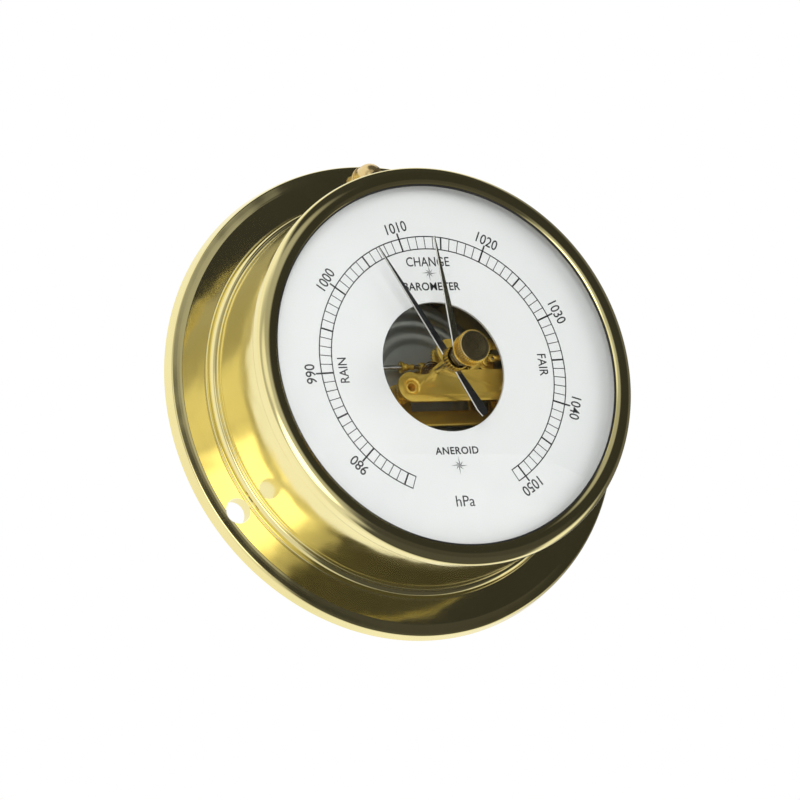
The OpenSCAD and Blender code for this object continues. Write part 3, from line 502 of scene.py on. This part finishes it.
def ring_tree():
    """Copies of one piece round the dial's axis, such as screws, lugs and the ridges of a knurl."""
    tree, given, out = new_tree("ring_of_pieces", RING + [("Piece", "Object"), ("Metal", "Material")])
    spots, turns = ring_spots(tree, given)
    piece = put(tree, "GeometryNodeObjectInfo", Object=given["Piece"])
    ring = put(tree, "GeometryNodeInstanceOnPoints", Points=spots, Instance=piece.outputs["Geometry"], Rotation=turns)
    close_tree(tree, ring.outputs[0], given["Metal"], out)
    return tree


def spring_tree():
    """The hairspring: a flat strip wound along a spiral."""
    tree, given, out = new_tree("hairspring", [("Turns", "Float"), ("Inner Radius", "Float"),
                                               ("Outer Radius", "Float"), ("Strip", "Float"), ("Depth", "Float"),
                                               ("Height", "Float"), ("End Azimuth", "Float"), ("Metal", "Material")])
    spiral = put(tree, "GeometryNodeCurveSpiral", Resolution=72, Rotations=given["Turns"], Height=0.0)
    feed(tree, spiral, "Start Radius", given["Inner Radius"])
    feed(tree, spiral, "End Radius", given["Outer Radius"])
    strip = put(tree, "GeometryNodeCurvePrimitiveQuadrilateral", Width=given["Strip"], Height=given["Depth"])
    wound = put(tree, "GeometryNodeCurveToMesh", Curve=spiral.outputs[0])
    feed(tree, wound, "Profile Curve", strip.outputs[0])
    wound.inputs["Fill Caps"].default_value = True
    lift = put(tree, "ShaderNodeCombineXYZ", Y=sums(tree, "MULTIPLY", given["Height"], -1.0))
    turn = put(tree, "ShaderNodeCombineXYZ", X=math.pi / 2, Y=sums(tree, "RADIANS", given["End Azimuth"]))
    placed = put(tree, "GeometryNodeTransform", Geometry=wound.outputs[0], Translation=lift.outputs[0],
                 Rotation=turn.outputs[0])
    close_tree(tree, placed.outputs[0], given["Metal"], out)
    return tree


def grown(name, tree, **sizes):
    """The tree's result as a plain mesh. Inputs are set by their sockets' identifiers."""
    made = bpy.data.objects.new(name, bpy.data.meshes.new(name))
    bpy.context.scene.collection.objects.link(made)
    nodes = made.modifiers.new("grown", "NODES")
    nodes.node_group = tree
    for socket in tree.interface.items_tree:
        key = socket.name.replace(" ", "_")
        if socket.in_out == "INPUT" and key in sizes:
            nodes[socket.identifier] = sizes[key]
    return bake(made)


def ring_of(name, piece, finish, count, radius=0.0, height=0.0, first=0.0, step=None):
    made = grown(name, RING_TREE, Count=count, First_Azimuth=first, Step=360.0 / count if step is None else step,
                 Radius=radius * MM, Height=height * MM, Piece=piece, Metal=FINISH[finish])
    bpy.data.objects.remove(piece)
    shade(made.data, SHARP_SMALL)
    return made


def slotted_screw(r, h, shank_r, shank_l, turn):
    """A cheese-head screw that stands on height 0 with its shank below."""
    slot, depth, groove_depth, turns = 0.5, 0.45, 0.09, 14
    head = turned("head", rounded([(0, 0, 0), (r, 0, 0), (r, h, 0.18), (0, h, 0)]), 48, edge=0.05)
    w = slot / 2
    cut = [(-r - 1, -w), (r + 1, -w), (r + 1, w), (-r - 1, w)]
    drilled(head, extruded("groove", [cut], h - depth, h + 1, 0, turn=turn))
    line = [(shank_r - (groove_depth if i % 2 else 0), -shank_l * i / turns) for i in range(turns + 1)]
    thread = turned("thread", [(0, 0.01)] + line + [(0, -shank_l)], 24, edge=0)
    return joined("screw", [head, thread])


# ---- the case --------------------------------------------------------------------------------------------------

def make_case():
    """Spun flange, step and drum, drilled for the wall screws, with the seat for the back plate inside."""
    outline = ([(DRUM_BORE_R, 0.15), (DRUM_BORE_R + 0.15, 0), (FLANGE_R - 0.2, 0), (FLANGE_R, 0.2)]
               + arc(FLANGE_R - 1.3, FLANGE_T - 1.25, 0.85, 8, 70, 8)
               + [(FLANGE_R - 2.1, FLANGE_T - 0.28), (FLANGE_R - 2.8, FLANGE_T - 0.15), (FLANGE_R - 3.3, FLANGE_T)]
               + arc(STEP_R + 0.25, FLANGE_T + 0.25, 0.25, 270, 182, 4)
               + [(STEP_R - 1.4 + 1.4 * math.cos(t), STEP_TOP - 2.3 + 2.3 * math.sin(t)) for t in
                  (math.pi / 2 * i / 14 for i in range(1, 15))]
               + arc(DRUM_R + 0.3, STEP_TOP + 0.3, 0.3, 270, 180, 5)
               + [(DRUM_R, DRUM_TOP), (DRUM_BORE_R, DRUM_TOP), (DRUM_BORE_R, LEDGE_TOP), (LEDGE_R, LEDGE_TOP),
                  (LEDGE_R, BACK_SEAT), (DRUM_BORE_R, BACK_SEAT)])
    shell = turned("case_shell_spun", outline, 360, sharp=SHARP_SPUN)
    holes = [drill(*round_place(HOLE_CIRCLE_R, 120 * k), HOLE_R, -1, 5) for k in range(3)]
    drilled(shell, *holes)
    fit(shell, "polished_brass", "case", "case_shell")
    lug_r, lug_top = 2.6, 6.4
    line = rounded([(0, BACK_SEAT, 0), (lug_r, BACK_SEAT, 0), (lug_r, lug_top, 0.4), (0, lug_top, 0)])
    lug = turned("lug", line, 40)
    fit(ring_of("screw_lugs", lug, "polished_brass", 3, BACK_SCREW_CIRCLE_R, 0, 60), "polished_brass", "case")


def make_back():
    """Black lacquered back plate with its screws and the hole for the adjusting screw."""
    plate = turned("back_plate_lacquered", rounded([(0, BACK_FACE, 0), (BACK_R, BACK_FACE, 0.2),
                                                    (BACK_R, BACK_SEAT, 0.2), (0, BACK_SEAT, 0)]), 240)
    holes = [drill(*round_place(circle_r, first + 120 * k), SMALL_HOLE_R, 0, 4, 24)
             for circle_r, first in ((BACK_SCREW_CIRCLE_R, 60), (BASE_SCREW_CIRCLE_R, 90)) for k in range(3)]
    drilled(plate, drill(ADJUSTER_X, 0, ADJUSTER_HOLE_R, 0, 4), *holes)
    fit(plate, "back_plate_paint", "case", "back_plate")
    screw = slotted_screw(1.9, 0.7, shank_r=0.9, shank_l=4.3, turn=20)
    for spot in screw.data.vertices:
        spot.co = Vector((spot.co.x, -(BACK_FACE * MM) - spot.co.y, spot.co.z))
    screw.data.flip_normals()
    fit(ring_of("back_screws_slotted", screw, "steel", 3, BACK_SCREW_CIRCLE_R, 0, 60), "steel", "case", "back_screws")


def make_bezel():
    """Rolled ring over the glass with its skirt in the drum."""
    crown, shoulder = LIP_R + 1.6, (DRUM_R - 0.675, LIP_TOP - 1.935)
    inner_bend, outer_bend, skirt = 2.89, 4.4, 4.4
    outline = ([(LIP_R, GLASS_RIM_TOP)] + arc(crown, LIP_TOP - inner_bend, inner_bend, 122, 90, 10)
               + arc(crown, LIP_TOP - outer_bend, outer_bend, 90, 52, 14)[1:] + arc(*shoulder, 1.275, 52, 0, 8)[1:]
               + arc(DRUM_R + 0.3, DRUM_TOP + 0.3, 0.3, 0, -90, 5)
               + [(SKIRT_R, DRUM_TOP), (SKIRT_R, DRUM_TOP - skirt), (SKIRT_IN_R, DRUM_TOP - skirt),
                  (SKIRT_IN_R, GLASS_RIM_TOP)])
    fit(turned("bezel_rolled", outline, 360, sharp=SHARP_SPUN), "ring_brass", "case", "bezel")


def make_glass():
    """Domed glass: a flat rim under the lip, then a shallow cap with a hole for the set hand's collar."""
    base = LIP_R - 0.1
    rise = GLASS_APEX - GLASS_RIM_TOP
    ball = (base * base + rise * rise) / (2 * rise)
    middle = GLASS_RIM_TOP + rise - ball
    inner = ball - GLASS_T
    hole = SPINDLE_R + SLEEVE_ROOM
    outer_cap = [(ball * math.sin(t), middle + ball * math.cos(t)) for t in (
        math.asin(hole / ball) * (1 - i / 60) + math.asin(base / ball) * i / 60 for i in range(61))]
    last = math.acos((GLASS_SEAT - middle) / inner)
    inner_cap = [(inner * math.sin(t), middle + inner * math.cos(t)) for t in (
        math.asin(hole / inner) * i / 60 + last * (1 - i / 60) for i in range(61))]
    outline = outer_cap + [(SKIRT_IN_R - 0.1, GLASS_RIM_TOP), (SKIRT_IN_R - 0.1, GLASS_SEAT)] + inner_cap
    fit(turned("glass_domed", outline, 240, edge=0), "glass", "case", "glass")


def make_rings():
    """The dial, the spacer ring on it, the seal under the glass, and a thin black ring round the glass under the lip
    that paints in the dark line of the lip's edge mirrored in the glass.
    """
    dial = rounded([(OPENING_R, DIAL_BACK, 0.1), (DIAL_R, DIAL_BACK, 0.1), (DIAL_R, DIAL_FACE, 0.1),
                    (OPENING_R, DIAL_FACE, 0.12)])
    fit(turned("dial_enamelled", dial, 300), "dial_white", "case", "dial")
    spacer = rounded([(DIAL_SHOW_R, DIAL_FACE, 0), (DIAL_R, DIAL_FACE, 0), (DIAL_R, SPACER_TOP, 0),
                      (DIAL_SHOW_R, SPACER_TOP, 0.25)])
    fit(turned("spacer_ring_turned", spacer, 300, edge=0.05), "movement_brass", "case", "dial_spacer_ring")
    seal = rounded([(DIAL_SHOW_R, SPACER_TOP, 0.12), (DIAL_R, SPACER_TOP, 0), (DIAL_R, GLASS_SEAT, 0),
                    (DIAL_SHOW_R, GLASS_SEAT, 0.12)])
    fit(turned("glass_seal", seal, 300, edge=0), "seal", "case", "glass_gasket")
    # Painted reflection: a thin black ring under the lip stands in for the dark line of the lip's edge mirrored in
    # the glass.
    bead = arc(LIP_R - 0.15, GLASS_RIM_TOP + 0.1, 0.25, 0, 345, 23)
    fit(turned("glass_bead", bead, 300, edge=0), "seal", "case")


# ---- the dial's printing ---------------------------------------------------------------------------------------

# The ink stands this far above the dial and starts this far below its face; capitals are this share of a font's size
INK, INK_SUNK, CAPITAL = 0.03, 0.02, 0.73


def azimuth_of(hpa):
    return (hpa - SCALE_MID) * DEG_PER_HPA


def ring_line(r, width, first, last):
    """A printed arc between two azimuths."""
    bm = bmesh.new()
    count = 160
    rows = []
    for k in range(count + 1):
        a = math.radians(first + (last - first) * k / count)
        rows.append([bm.verts.new(at((r + side) * math.sin(a), (r + side) * math.cos(a), DIAL_FACE + h))
                     for side, h in ((-width / 2, -INK_SUNK), (width / 2, -INK_SUNK), (width / 2, INK),
                                      (-width / 2, INK))])
    for here, there in zip(rows, rows[1:]):
        for i in range(4):
            j = (i + 1) % 4
            bm.faces.new((here[i], there[i], there[j], here[j]))
    bm.faces.new(rows[0])
    bm.faces.new(rows[-1])
    return finish_mesh("track", bm)


def marks(first_hpa, last_hpa, step, inner, outer, width):
    count = (last_hpa - first_hpa) // step + 1
    return grown("marks", MARKS_TREE, Count=count, First_Azimuth=azimuth_of(first_hpa), Step=step * DEG_PER_HPA,
                 Radius=(inner + outer) / 2 * MM, Height=(DIAL_FACE + INK / 2 - INK_SUNK / 2) * MM, Width=width * MM,
                 Length=(outer - inner) * MM, Thickness=(INK + INK_SUNK) * MM, Ink=FINISH["print_black"])


def lettering(text, height, azimuth, radius, squeeze=0.86, spacing=1.0, bold=0.0, upright=False):
    """Printed letters of a given capital height, their middle at a radius and azimuth, the tops outwards."""
    curve = bpy.data.curves.new("letters", "FONT")
    curve.body = text
    curve.size = height * MM / CAPITAL
    curve.align_x = "CENTER"
    curve.align_y = "CENTER"
    curve.space_character = spacing
    curve.offset = bold * MM
    curve.resolution_u = 4
    curve.extrude = (INK + INK_SUNK) / 2 * MM
    source = bpy.data.objects.new("letters", curve)
    bpy.context.scene.collection.objects.link(source)
    deps = bpy.context.evaluated_depsgraph_get()
    mesh = bpy.data.meshes.new_from_object(source.evaluated_get(deps))
    bpy.data.objects.remove(source)
    bm = bmesh.new()
    bm.from_mesh(mesh)
    bpy.data.meshes.remove(mesh)
    a = math.radians(azimuth)
    for v in bm.verts:
        x, y, z = v.co.x / MM * squeeze, v.co.y / MM, v.co.z / MM
        if upright:
            px, py = radius * math.sin(a) + x, radius * math.cos(a) + y
        else:
            px = (radius + y) * math.sin(a) + x * math.cos(a)
            py = (radius + y) * math.cos(a) - x * math.sin(a)
        v.co = at(px, py, DIAL_FACE + (INK - INK_SUNK) / 2 + z)
    return finish_mesh("letters", bm)


def star(radius, height_y):
    """A small plain star, each of its eight arms inked on one half."""
    arms, short_arm, waist_share = 8, 0.62, 0.26
    halves = []
    for k in range(arms):
        a = 2 * math.pi * k / arms
        long = radius if k % 2 == 0 else radius * short_arm
        tip = (long * math.sin(a), height_y + long * math.cos(a))
        b = a + math.pi / arms
        waist = (radius * waist_share * math.sin(b), height_y + radius * waist_share * math.cos(b))
        halves.append([(0, height_y), tip, waist])
    return extruded("star", halves, DIAL_FACE - INK_SUNK, DIAL_FACE + INK, 0)


def make_printing():
    """The scale from 974 to 1051 hPa with its words and numbers, all as one thin layer of ink."""
    low, high = azimuth_of(SCALE_LOW), azimuth_of(SCALE_HIGH)
    parts = [ring_line(r, 0.28, low - 0.2, high + 0.2) for r in (TRACK_IN_R, TRACK_OUT_R)]
    parts += [marks(SCALE_LOW, SCALE_HIGH, 1, TRACK_IN_R, TRACK_OUT_R, 0.2),
              marks(975, 1050, 5, TRACK_IN_R, TRACK_OUT_R, 0.42), marks(980, 1050, 10, TRACK_IN_R, LONG_MARK_R, 0.42)]
    for hpa in range(980, 1051, 10):
        parts.append(lettering(str(hpa), 2.8, azimuth_of(hpa), 36.6, 0.86 if hpa > 999 else 0.9, bold=0.025))
    for word, azimuth, radius in (("CHANGE", 0, 27.0), ("FAIR", 90, 27.6), ("RAIN", -91, 27.6)):
        parts.append(lettering(word, 2.5, azimuth, radius, bold=0.02))
    parts += [lettering("hPa", 2.9, 180, 34.6, 0.95, upright=True),
              lettering("BAROMETER", 2.1, 0, 20.6, 0.94, 1.04, bold=0.05), star(2.1, 24.2),
              lettering("ANEROID", 1.9, 180, 21.7, 0.98, 1.1, bold=0.05, upright=True), star(2.3, -25.4)]
    fit(joined("dial_print", parts), "print_black", "case")


# ---- the hands and the knob ------------------------------------------------------------------------------------

def hand(name, sections, azimuth, body, dark, node):
    """A blade of (distance from the axis, width, height) sections with a polished strip down its left edge."""
    thickness, strip = 0.34, 0.17
    bm = bmesh.new()
    a = math.radians(azimuth)
    rows = []
    for along, width, height in sections:
        row = []
        fold = min(strip / width, 0.5) - 0.5
        for side, rise in ((-0.5, 0.0), (0.5, 0.0), (0.5, thickness), (fold, thickness), (-0.5, 0.08)):
            x = side * width
            row.append(bm.verts.new(at(x * math.cos(a) + along * math.sin(a), along * math.cos(a) - x * math.sin(a),
                                       height + rise)))
        rows.append(row)
    for here, there in zip(rows, rows[1:]):
        for i in range(5):
            j = (i + 1) % 5
            face = bm.faces.new((here[i], there[i], there[j], here[j]))
            face.material_index = 1 if i == 3 else 0
    bm.faces.new(rows[0])
    bm.faces.new(rows[-1])
    made = finish_mesh(name, bm, 12)
    made.data.materials.append(FINISH[dark])
    made.data.materials.append(FINISH["bright_edge"])
    fit(made, None, body, node)


def make_hands():
    hand("pointer_blade", [(-15.5, 1.9, POINTER_Z), (-13.6, 2.5, POINTER_Z), (-1.5, 1.2, POINTER_Z),
                           (0, 2.5, POINTER_Z), (1.6, 2.1, POINTER_Z), (24, 0.9, POINTER_Z),
                           (33.2, 0.3, POINTER_Z)], POINTER_AZ, "pointer_arbor", "pointer_black", "pointer")
    hand("set_hand_blade", [(-1.5, 2.9, SET_HAND_Z), (0, 3.2, SET_HAND_Z), (1.6, 2.5, SET_HAND_Z),
                            (3.5, 2.2, SET_HAND_Z - 0.02), (32.0, 0.32, SET_TIP_Z)], SET_AZ,
         "set_pointer", "set_hand_brass", "set_hand")
    make_hub()
    spindle = rounded([(0, SPINDLE_LOW, 0), (SPINDLE_R, SPINDLE_LOW, 0.15), (SPINDLE_R, SPINDLE_TOP, 0),
                       (0, SPINDLE_TOP, 0)])
    fit(turned("set_spindle_turned", spindle, 48, edge=0.05), "movement_brass", "set_pointer", "set_spindle")
    collet = rounded([(0.61, 32.9, 0), (1.5, 32.9, 0.12), (1.5, 33.7, 0), (1.25, 34.1, 0), (1.25, 34.9, 0.12),
                      (0.61, 34.9, 0)])
    fit(turned("pointer_collet_turned", collet, 48, edge=0.04), "movement_brass", "pointer_arbor", "pointer_collet")


def make_hub():
    """The set hand's knurled hub under the blade, with a plain rim at its foot and a sleeve through the blade."""
    sleeve = rounded([(SPINDLE_R, HUB_LOW, 0), (HUB_R, HUB_LOW, 0.1), (HUB_R, HUB_LOW + 0.3, 0.1),
                      (HUB_R - RIDGE_DEPTH, HUB_LOW + 0.35, 0), (HUB_R - RIDGE_DEPTH, SET_HAND_Z, 0),
                      (2.0, SET_HAND_Z, 0), (2.0, 38.2, 0), (2.5, 38.2, 0), (2.5, HUB_TOP, 0.15),
                      (SPINDLE_R, HUB_TOP, 0)])
    fit(turned("set_hand_hub_turned", sleeve, 72, edge=0.05), "collar_dark", "set_pointer", "set_hand_hub")
    ridges = ring_of("set_hand_hub_ridges", knurl(HUB_R, RIDGE_DEPTH, HUB_LOW + 0.35, SET_HAND_Z - 0.02, 0.44),
                     "movement_brass", HUB_RIDGES)
    fit(ridges, "movement_brass", "set_pointer")


def knurl(r, depth, low, high, width):
    """One ridge of a knurl at azimuth 0, standing on a cylinder of radius r - depth."""
    ridge = [(-width / 2, r - depth - 0.1), (width / 2, r - depth - 0.1), (width / 2, r - depth),
             (width * 0.16, r), (-width * 0.16, r), (-width / 2, r - depth)]
    return extruded("ridge", [ridge], low, high, 0.03)


def make_knob():
    """Knurled knob: a turned body with ridges round it, and a dished face."""
    core_r = KNOB_R - RIDGE_DEPTH
    body = rounded([(0, KNOB_Z, 0), (core_r, KNOB_Z, 0.15), (core_r, KNOB_TOP - 0.15, 0),
                    (KNOB_R - 0.4, KNOB_TOP, 0.05), (KNOB_R - 1.3, KNOB_TOP, 0.2), (1.2, KNOB_TOP - 0.12, 0.2),
                    (0, KNOB_TOP - 0.14, 0)], 5)
    core = turned("set_knob_turned", body, 120, edge=0.06)
    core.data.materials.append(FINISH["knob_brass"])
    core.data.materials.append(FINISH["collar_dark"])
    for face in core.data.polygons:
        face.material_index = int(abs(face.normal.y) < 0.5 and face.center.xz.length > (KNOB_R - 0.4) * MM)
    fit(core, None, "set_pointer", "set_knob")
    lower = rounded([(SPINDLE_R, KNOB_Z, 0), (KNOB_R - 0.05, KNOB_Z, 0.12), (KNOB_R - 0.05, KNOB_Z + 0.5, 0.12),
                     (SPINDLE_R, KNOB_Z + 0.5, 0)])
    flange = turned("flange", lower, 120, edge=0.05)
    ridges = ring_of("ridges", knurl(KNOB_R, RIDGE_DEPTH, KNOB_Z + 0.55, KNOB_TOP - 0.2, 0.36), "movement_brass",
                     KNOB_RIDGES)
    fit(joined("set_knob_knurl", [flange, ridges]), "movement_brass", "set_pointer")


def make_collar():
    """The knurled collar that holds the spindle in the glass, and its sleeve."""
    bore, depth = SPINDLE_R + 0.03, 0.2
    ring = rounded([(bore, GLASS_APEX - 1.0, 0), (SLEEVE_R, GLASS_APEX - 1.0, 0), (SLEEVE_R, GLASS_APEX, 0),
                    (COLLAR_R - depth, GLASS_APEX, 0), (COLLAR_R - depth, COLLAR_TOP, 0.15), (bore, COLLAR_TOP, 0)])
    sleeve = turned("sleeve", ring, 80, edge=0.05)
    rim = ring_of("rim", knurl(COLLAR_R, depth, GLASS_APEX + 0.05, COLLAR_TOP - 0.12, 0.5), "collar_dark",
                  COLLAR_RIDGES)
    fit(joined("glass_collar_knurled", [sleeve, rim]), "collar_dark", "case", "glass_collar")


def make_wall_screw():
    """Domed slotted screw with a thin collar and its thread in the wall."""
    r, foot = SCREW_HEAD_R, FLANGE_T + SCREW_COLLAR_T
    top = foot + SCREW_HEAD_H
    centre = (0.0, SCREW_Y)
    dome = ([(0, FLANGE_T), (r + 0.3, FLANGE_T), (r + 0.3, foot - 0.25)] + arc(r + 0.05, foot - 0.25, 0.25, 0, 90, 4)
            + [(r, foot + 0.02), (r, top - r)] + arc(0, top - r, r, 4, 90, 22))
    head = turned("head", dome, 96, centre, SHARP_SPUN, 0.05)
    w, slot_depth, slot_turn = 0.45, 1.6, 35
    cut = [(-6, -w), (6, -w), (6, w), (-6, w)]
    drilled(head, extruded("groove", [cut], top - slot_depth, top + 2, 0, centre, slot_turn))
    thread = [(0, FLANGE_T), (1.75, FLANGE_T), (1.75, -0.3), (1.2, -0.35), (1.2, -0.8)]
    thread += [(1.5 - (0.28 if i % 2 else 0), -0.85 - 12.15 * i / 32) for i in range(33)]
    thread += [(0.4, -SCREW_SHANK_L), (0, -SCREW_SHANK_L)]
    shank = turned("shank", thread, 40, centre, edge=0)
    fit(joined("wall_screw_domed", [head, shank]), "screw_brass", "case", "wall_screw")


# ---- the movement ----------------------------------------------------------------------------------------------

def capsule_line(side):
    """The middle of one half's sheet from the axis to the rim; side is 1 for the upper half and -1 for the lower."""
    mid, rise, steps = (CAPSULE_TOP + CAPSULE_LOW) / 2, (CAPSULE_TOP - CAPSULE_LOW) / 2 - SHEET_T, 72
    slope = 0.35
    line = [(0, 0), (WAVES_FROM_R - 0.3, 0)]
    for i in range(1, steps + 1):
        t = i / steps
        line.append((WAVES_FROM_R + (WAVES_TO_R - WAVES_FROM_R) * i / steps,
                     -rise * slope * t + WAVE_H * (math.cos(2 * WAVES * math.pi * t) - 1) / 2))
    line += [(CAPSULE_RIM_R, -rise + SHEET_T / 2), (CAPSULE_R, -rise + SHEET_T / 2)]
    h = (CAPSULE_TOP - SHEET_T / 2 - mid) * side
    return [(r, mid + h + side * z) for r, z in line]


def make_capsule():
    """Corrugated capsule: both halves have the same waves."""
    for name, side, node in (("capsule_diaphragm_waved", 1, "capsule_diaphragm"),
                             ("capsule_lower_waved", -1, "capsule_lower")):
        middle = capsule_line(side)
        outline = [(r, h + SHEET_T / 2) for r, h in middle] + [(r, h - SHEET_T / 2) for r, h in reversed(middle)]
        half = turned(name, outline, 180, sharp=SHARP_WAVED, edge=0)
        if side < 0:
            foot = turned("foot", rounded([(0, 6.2, 0), (3, 6.2, 0.2), (3, 8.3, 0), (0, 8.3, 0)]), 48)
            fit(joined(name, [half, foot]), "capsule_nickel", "case", node)
        else:
            half.data.materials.append(FINISH["capsule_nickel"])
            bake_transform(half)
            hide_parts(node)


def make_hairspring():
    spring = grown("hairspring_wound", SPRING_TREE, Turns=4.0, Inner_Radius=1.3 * MM, Outer_Radius=3.4 * MM,
                   Strip=0.16 * MM, Depth=0.6 * MM, Height=23.4 * MM, End_Azimuth=-235.0,
                   Metal=FINISH["spring_bronze"])
    fit(spring, "spring_bronze", "pointer_arbor", "hairspring")


def make_movement():
    """The movement's plates, posts, levers and gears: the solids' shapes with broken edges and their own metals."""
    brass = {"capsule_carrier": ("case", 0.1), "movement_frame": ("case", 0.1), "frame_pillars": ("case", 0.1),
             "train_plate": ("case", 0.08), "plate_posts": ("case", 0.06), "post_tubes": ("case", 0.06),
             "bridge_plate": ("case", 0.14), "hairspring_stud": ("case", 0.05), "dial_posts": ("case", 0.15),
             "hairspring_collet": ("pointer_arbor", 0.04), "sector_gear": ("sector", 0.02),
             "shaft_bead": ("rock_lever", 0.03), "capsule_lever": ("rock_lever", 0.06),
             "drive_arm": ("rock_lever", 0.05), "capsule_stud": ("capsule_top", 0.06)}
    steel = {"base_screws": ("case", 0.06), "frame_screws": ("case", 0.06), "bridge_screw": ("case", 0.06),
             "pivot_screws": ("case", 0.06), "friction_washer": ("case", 0.03),
             "pinion_arbor": ("pointer_arbor", 0.015), "sector_arbor": ("sector", 0.04),
             "drive_pin": ("sector", 0.03), "rock_shaft": ("rock_lever", 0.05), "adjusting_screw": ("adjuster", 0.08)}
    for finish, group in (("movement_brass", brass), ("steel", steel)):
        for node, (body, width) in group.items():
            fit(dressed(node, width), finish, body, node)
    fit(dressed("movement_base", 0.12), "plated_base", "case", "movement_base")
    fit(dressed("glass_nut", 0.08), "collar_dark", "case", "glass_nut")


# ---- the studio ------------------------------------------------------------------------------------------------

# Soft round places in the surroundings: azimuth from the front to the right, elevation, the spread of the full
# tone and where it ends, all in degrees, and the tone
ROOM = [(-20, 5, 26, 52, 0.5), (0, -80, 30, 60, 0.78), (105, 8, 30, 43, 0.14), (40, 52, 31, 43, 0.04),
        (43, 12, 31, 45, 0.035), (-28, 14, 4, 16, 0.95), (-1, 31, 9, 21, 0.42), (28, -30, 25, 33, 0.06),
        (28, -62, 30, 42, 0.08), (-26, -14, 9, 19, 2.2)]


def toward(azimuth, elevation):
    a, e = math.radians(azimuth), math.radians(elevation)
    return math.sin(a) * math.cos(e), -math.cos(a) * math.cos(e), math.sin(e)


def room_tones(tree):
    """What polished pieces mirror: white walls with the soft places laid over one another."""
    ray = tree.nodes.new("ShaderNodeTexCoord").outputs["Generated"]
    room = (1.0, 1.0, 1.0)
    for azimuth, elevation, full, end, tone in ROOM:
        near = put(tree, "ShaderNodeVectorMath", {"operation": "DOT_PRODUCT"})
        feed(tree, near, "0", ray)
        feed(tree, near, "1", toward(azimuth, elevation))
        share = put(tree, "ShaderNodeMapRange", {"interpolation_type": "SMOOTHSTEP"}, Value=near.outputs["Value"],
                    From_Min=math.cos(math.radians(end)), From_Max=math.cos(math.radians(full)), To_Min=0.0,
                    To_Max=1.0)
        room = blend_colour(tree, share.outputs[0], room, (tone, tone, tone))
    return room


def make_world():
    world = bpy.data.worlds.new("studio")
    bpy.context.scene.world = world
    world.use_nodes = True
    tree = world.node_tree
    tree.nodes.clear()
    rays = tree.nodes.new("ShaderNodeLightPath")
    mirrored = sums(tree, "MAXIMUM", rays.outputs["Is Glossy Ray"], rays.outputs["Is Transmission Ray"])
    seen = sums(tree, "MAXIMUM", rays.outputs["Is Camera Ray"], mirrored)
    colour = blend_colour(tree, mirrored, (1.0, 1.0, 1.0), room_tones(tree))
    back = put(tree, "ShaderNodeBackground", Color=colour, Strength=span(tree, seen, 0.55, 1.0))
    out = tree.nodes.new("ShaderNodeOutputWorld")
    tree.links.new(back.outputs[0], out.inputs["Surface"])


def make_floor():
    made, tree, shader, where = fresh_material("pale_floor")
    pale = blend_colour(tree, clouds(tree, where, 3.0), (0.9, 0.9, 0.9), (0.93, 0.93, 0.93))
    feed(tree, shader, "Base Color", pale)
    shader.inputs["Roughness"].default_value = 0.8
    mesh = bpy.data.meshes.new("floor")
    half, low = 4, -0.6
    mesh.from_pydata([(-half, -half, low), (half, -half, low), (half, half, low), (-half, half, low)], [],
                     [(0, 1, 2, 3)])
    floor = bpy.data.objects.new("floor", mesh)
    bpy.context.scene.collection.objects.link(floor)
    mesh.materials.append(made)
    floor.visible_glossy = False


def lamp(name, place, size, power):
    """A round lamp that shines on the middle of the wall face and isn't mirrored itself."""
    light = bpy.data.lights.new(name, "AREA")
    light.shape = "DISK"
    light.size = size
    light.energy = power
    made = bpy.data.objects.new(name, light)
    bpy.context.scene.collection.objects.link(made)
    made.location = place
    made.rotation_euler = (-Vector(place)).to_track_quat("-Z", "Y").to_euler()
    made.visible_glossy = False
    made.visible_transmission = False


def make_studio():
    make_world()
    make_floor()
    lamp("key", (-0.5, -1.8, 0.6), 1.4, 14.6)
    lamp("fill", (1.6, -1.3, 0.3), 1.2, 12)


def make_camera():
    """The photograph's viewpoint: from the left, a little below the dial's middle."""
    right = Vector((0.8906, -0.4299, -0.1486))
    up = Vector((0.0204, -0.2887, 0.9572))
    back = Vector((-0.4543, -0.8555, -0.2483))
    data = bpy.data.cameras.new("camera")
    data.sensor_width = 36.0
    data.lens = 203.99
    data.clip_start = 0.01
    made = bpy.data.objects.new("camera", data)
    bpy.context.scene.collection.objects.link(made)
    distance, aside, below = 1.1239, 0.010666, 0.008184
    place = Vector((0, -DIAL_FACE * MM, 0)) + back * distance - right * aside - up * below
    made.matrix_world = Matrix.Translation(place) @ Matrix((right, up, back)).transposed().to_4x4()
    bpy.context.scene.camera = made


bpy.context.scene.view_settings.view_transform = "Standard"
make_camera()
FINISH = finishes()
RING_TREE, MARKS_TREE, SPRING_TREE = ring_tree(), marks_tree(), spring_tree()
make_case()
make_back()
make_bezel()
make_glass()
make_rings()
make_printing()
make_hands()
make_knob()
make_collar()
make_wall_screw()
make_capsule()
make_hairspring()
make_movement()
make_studio()
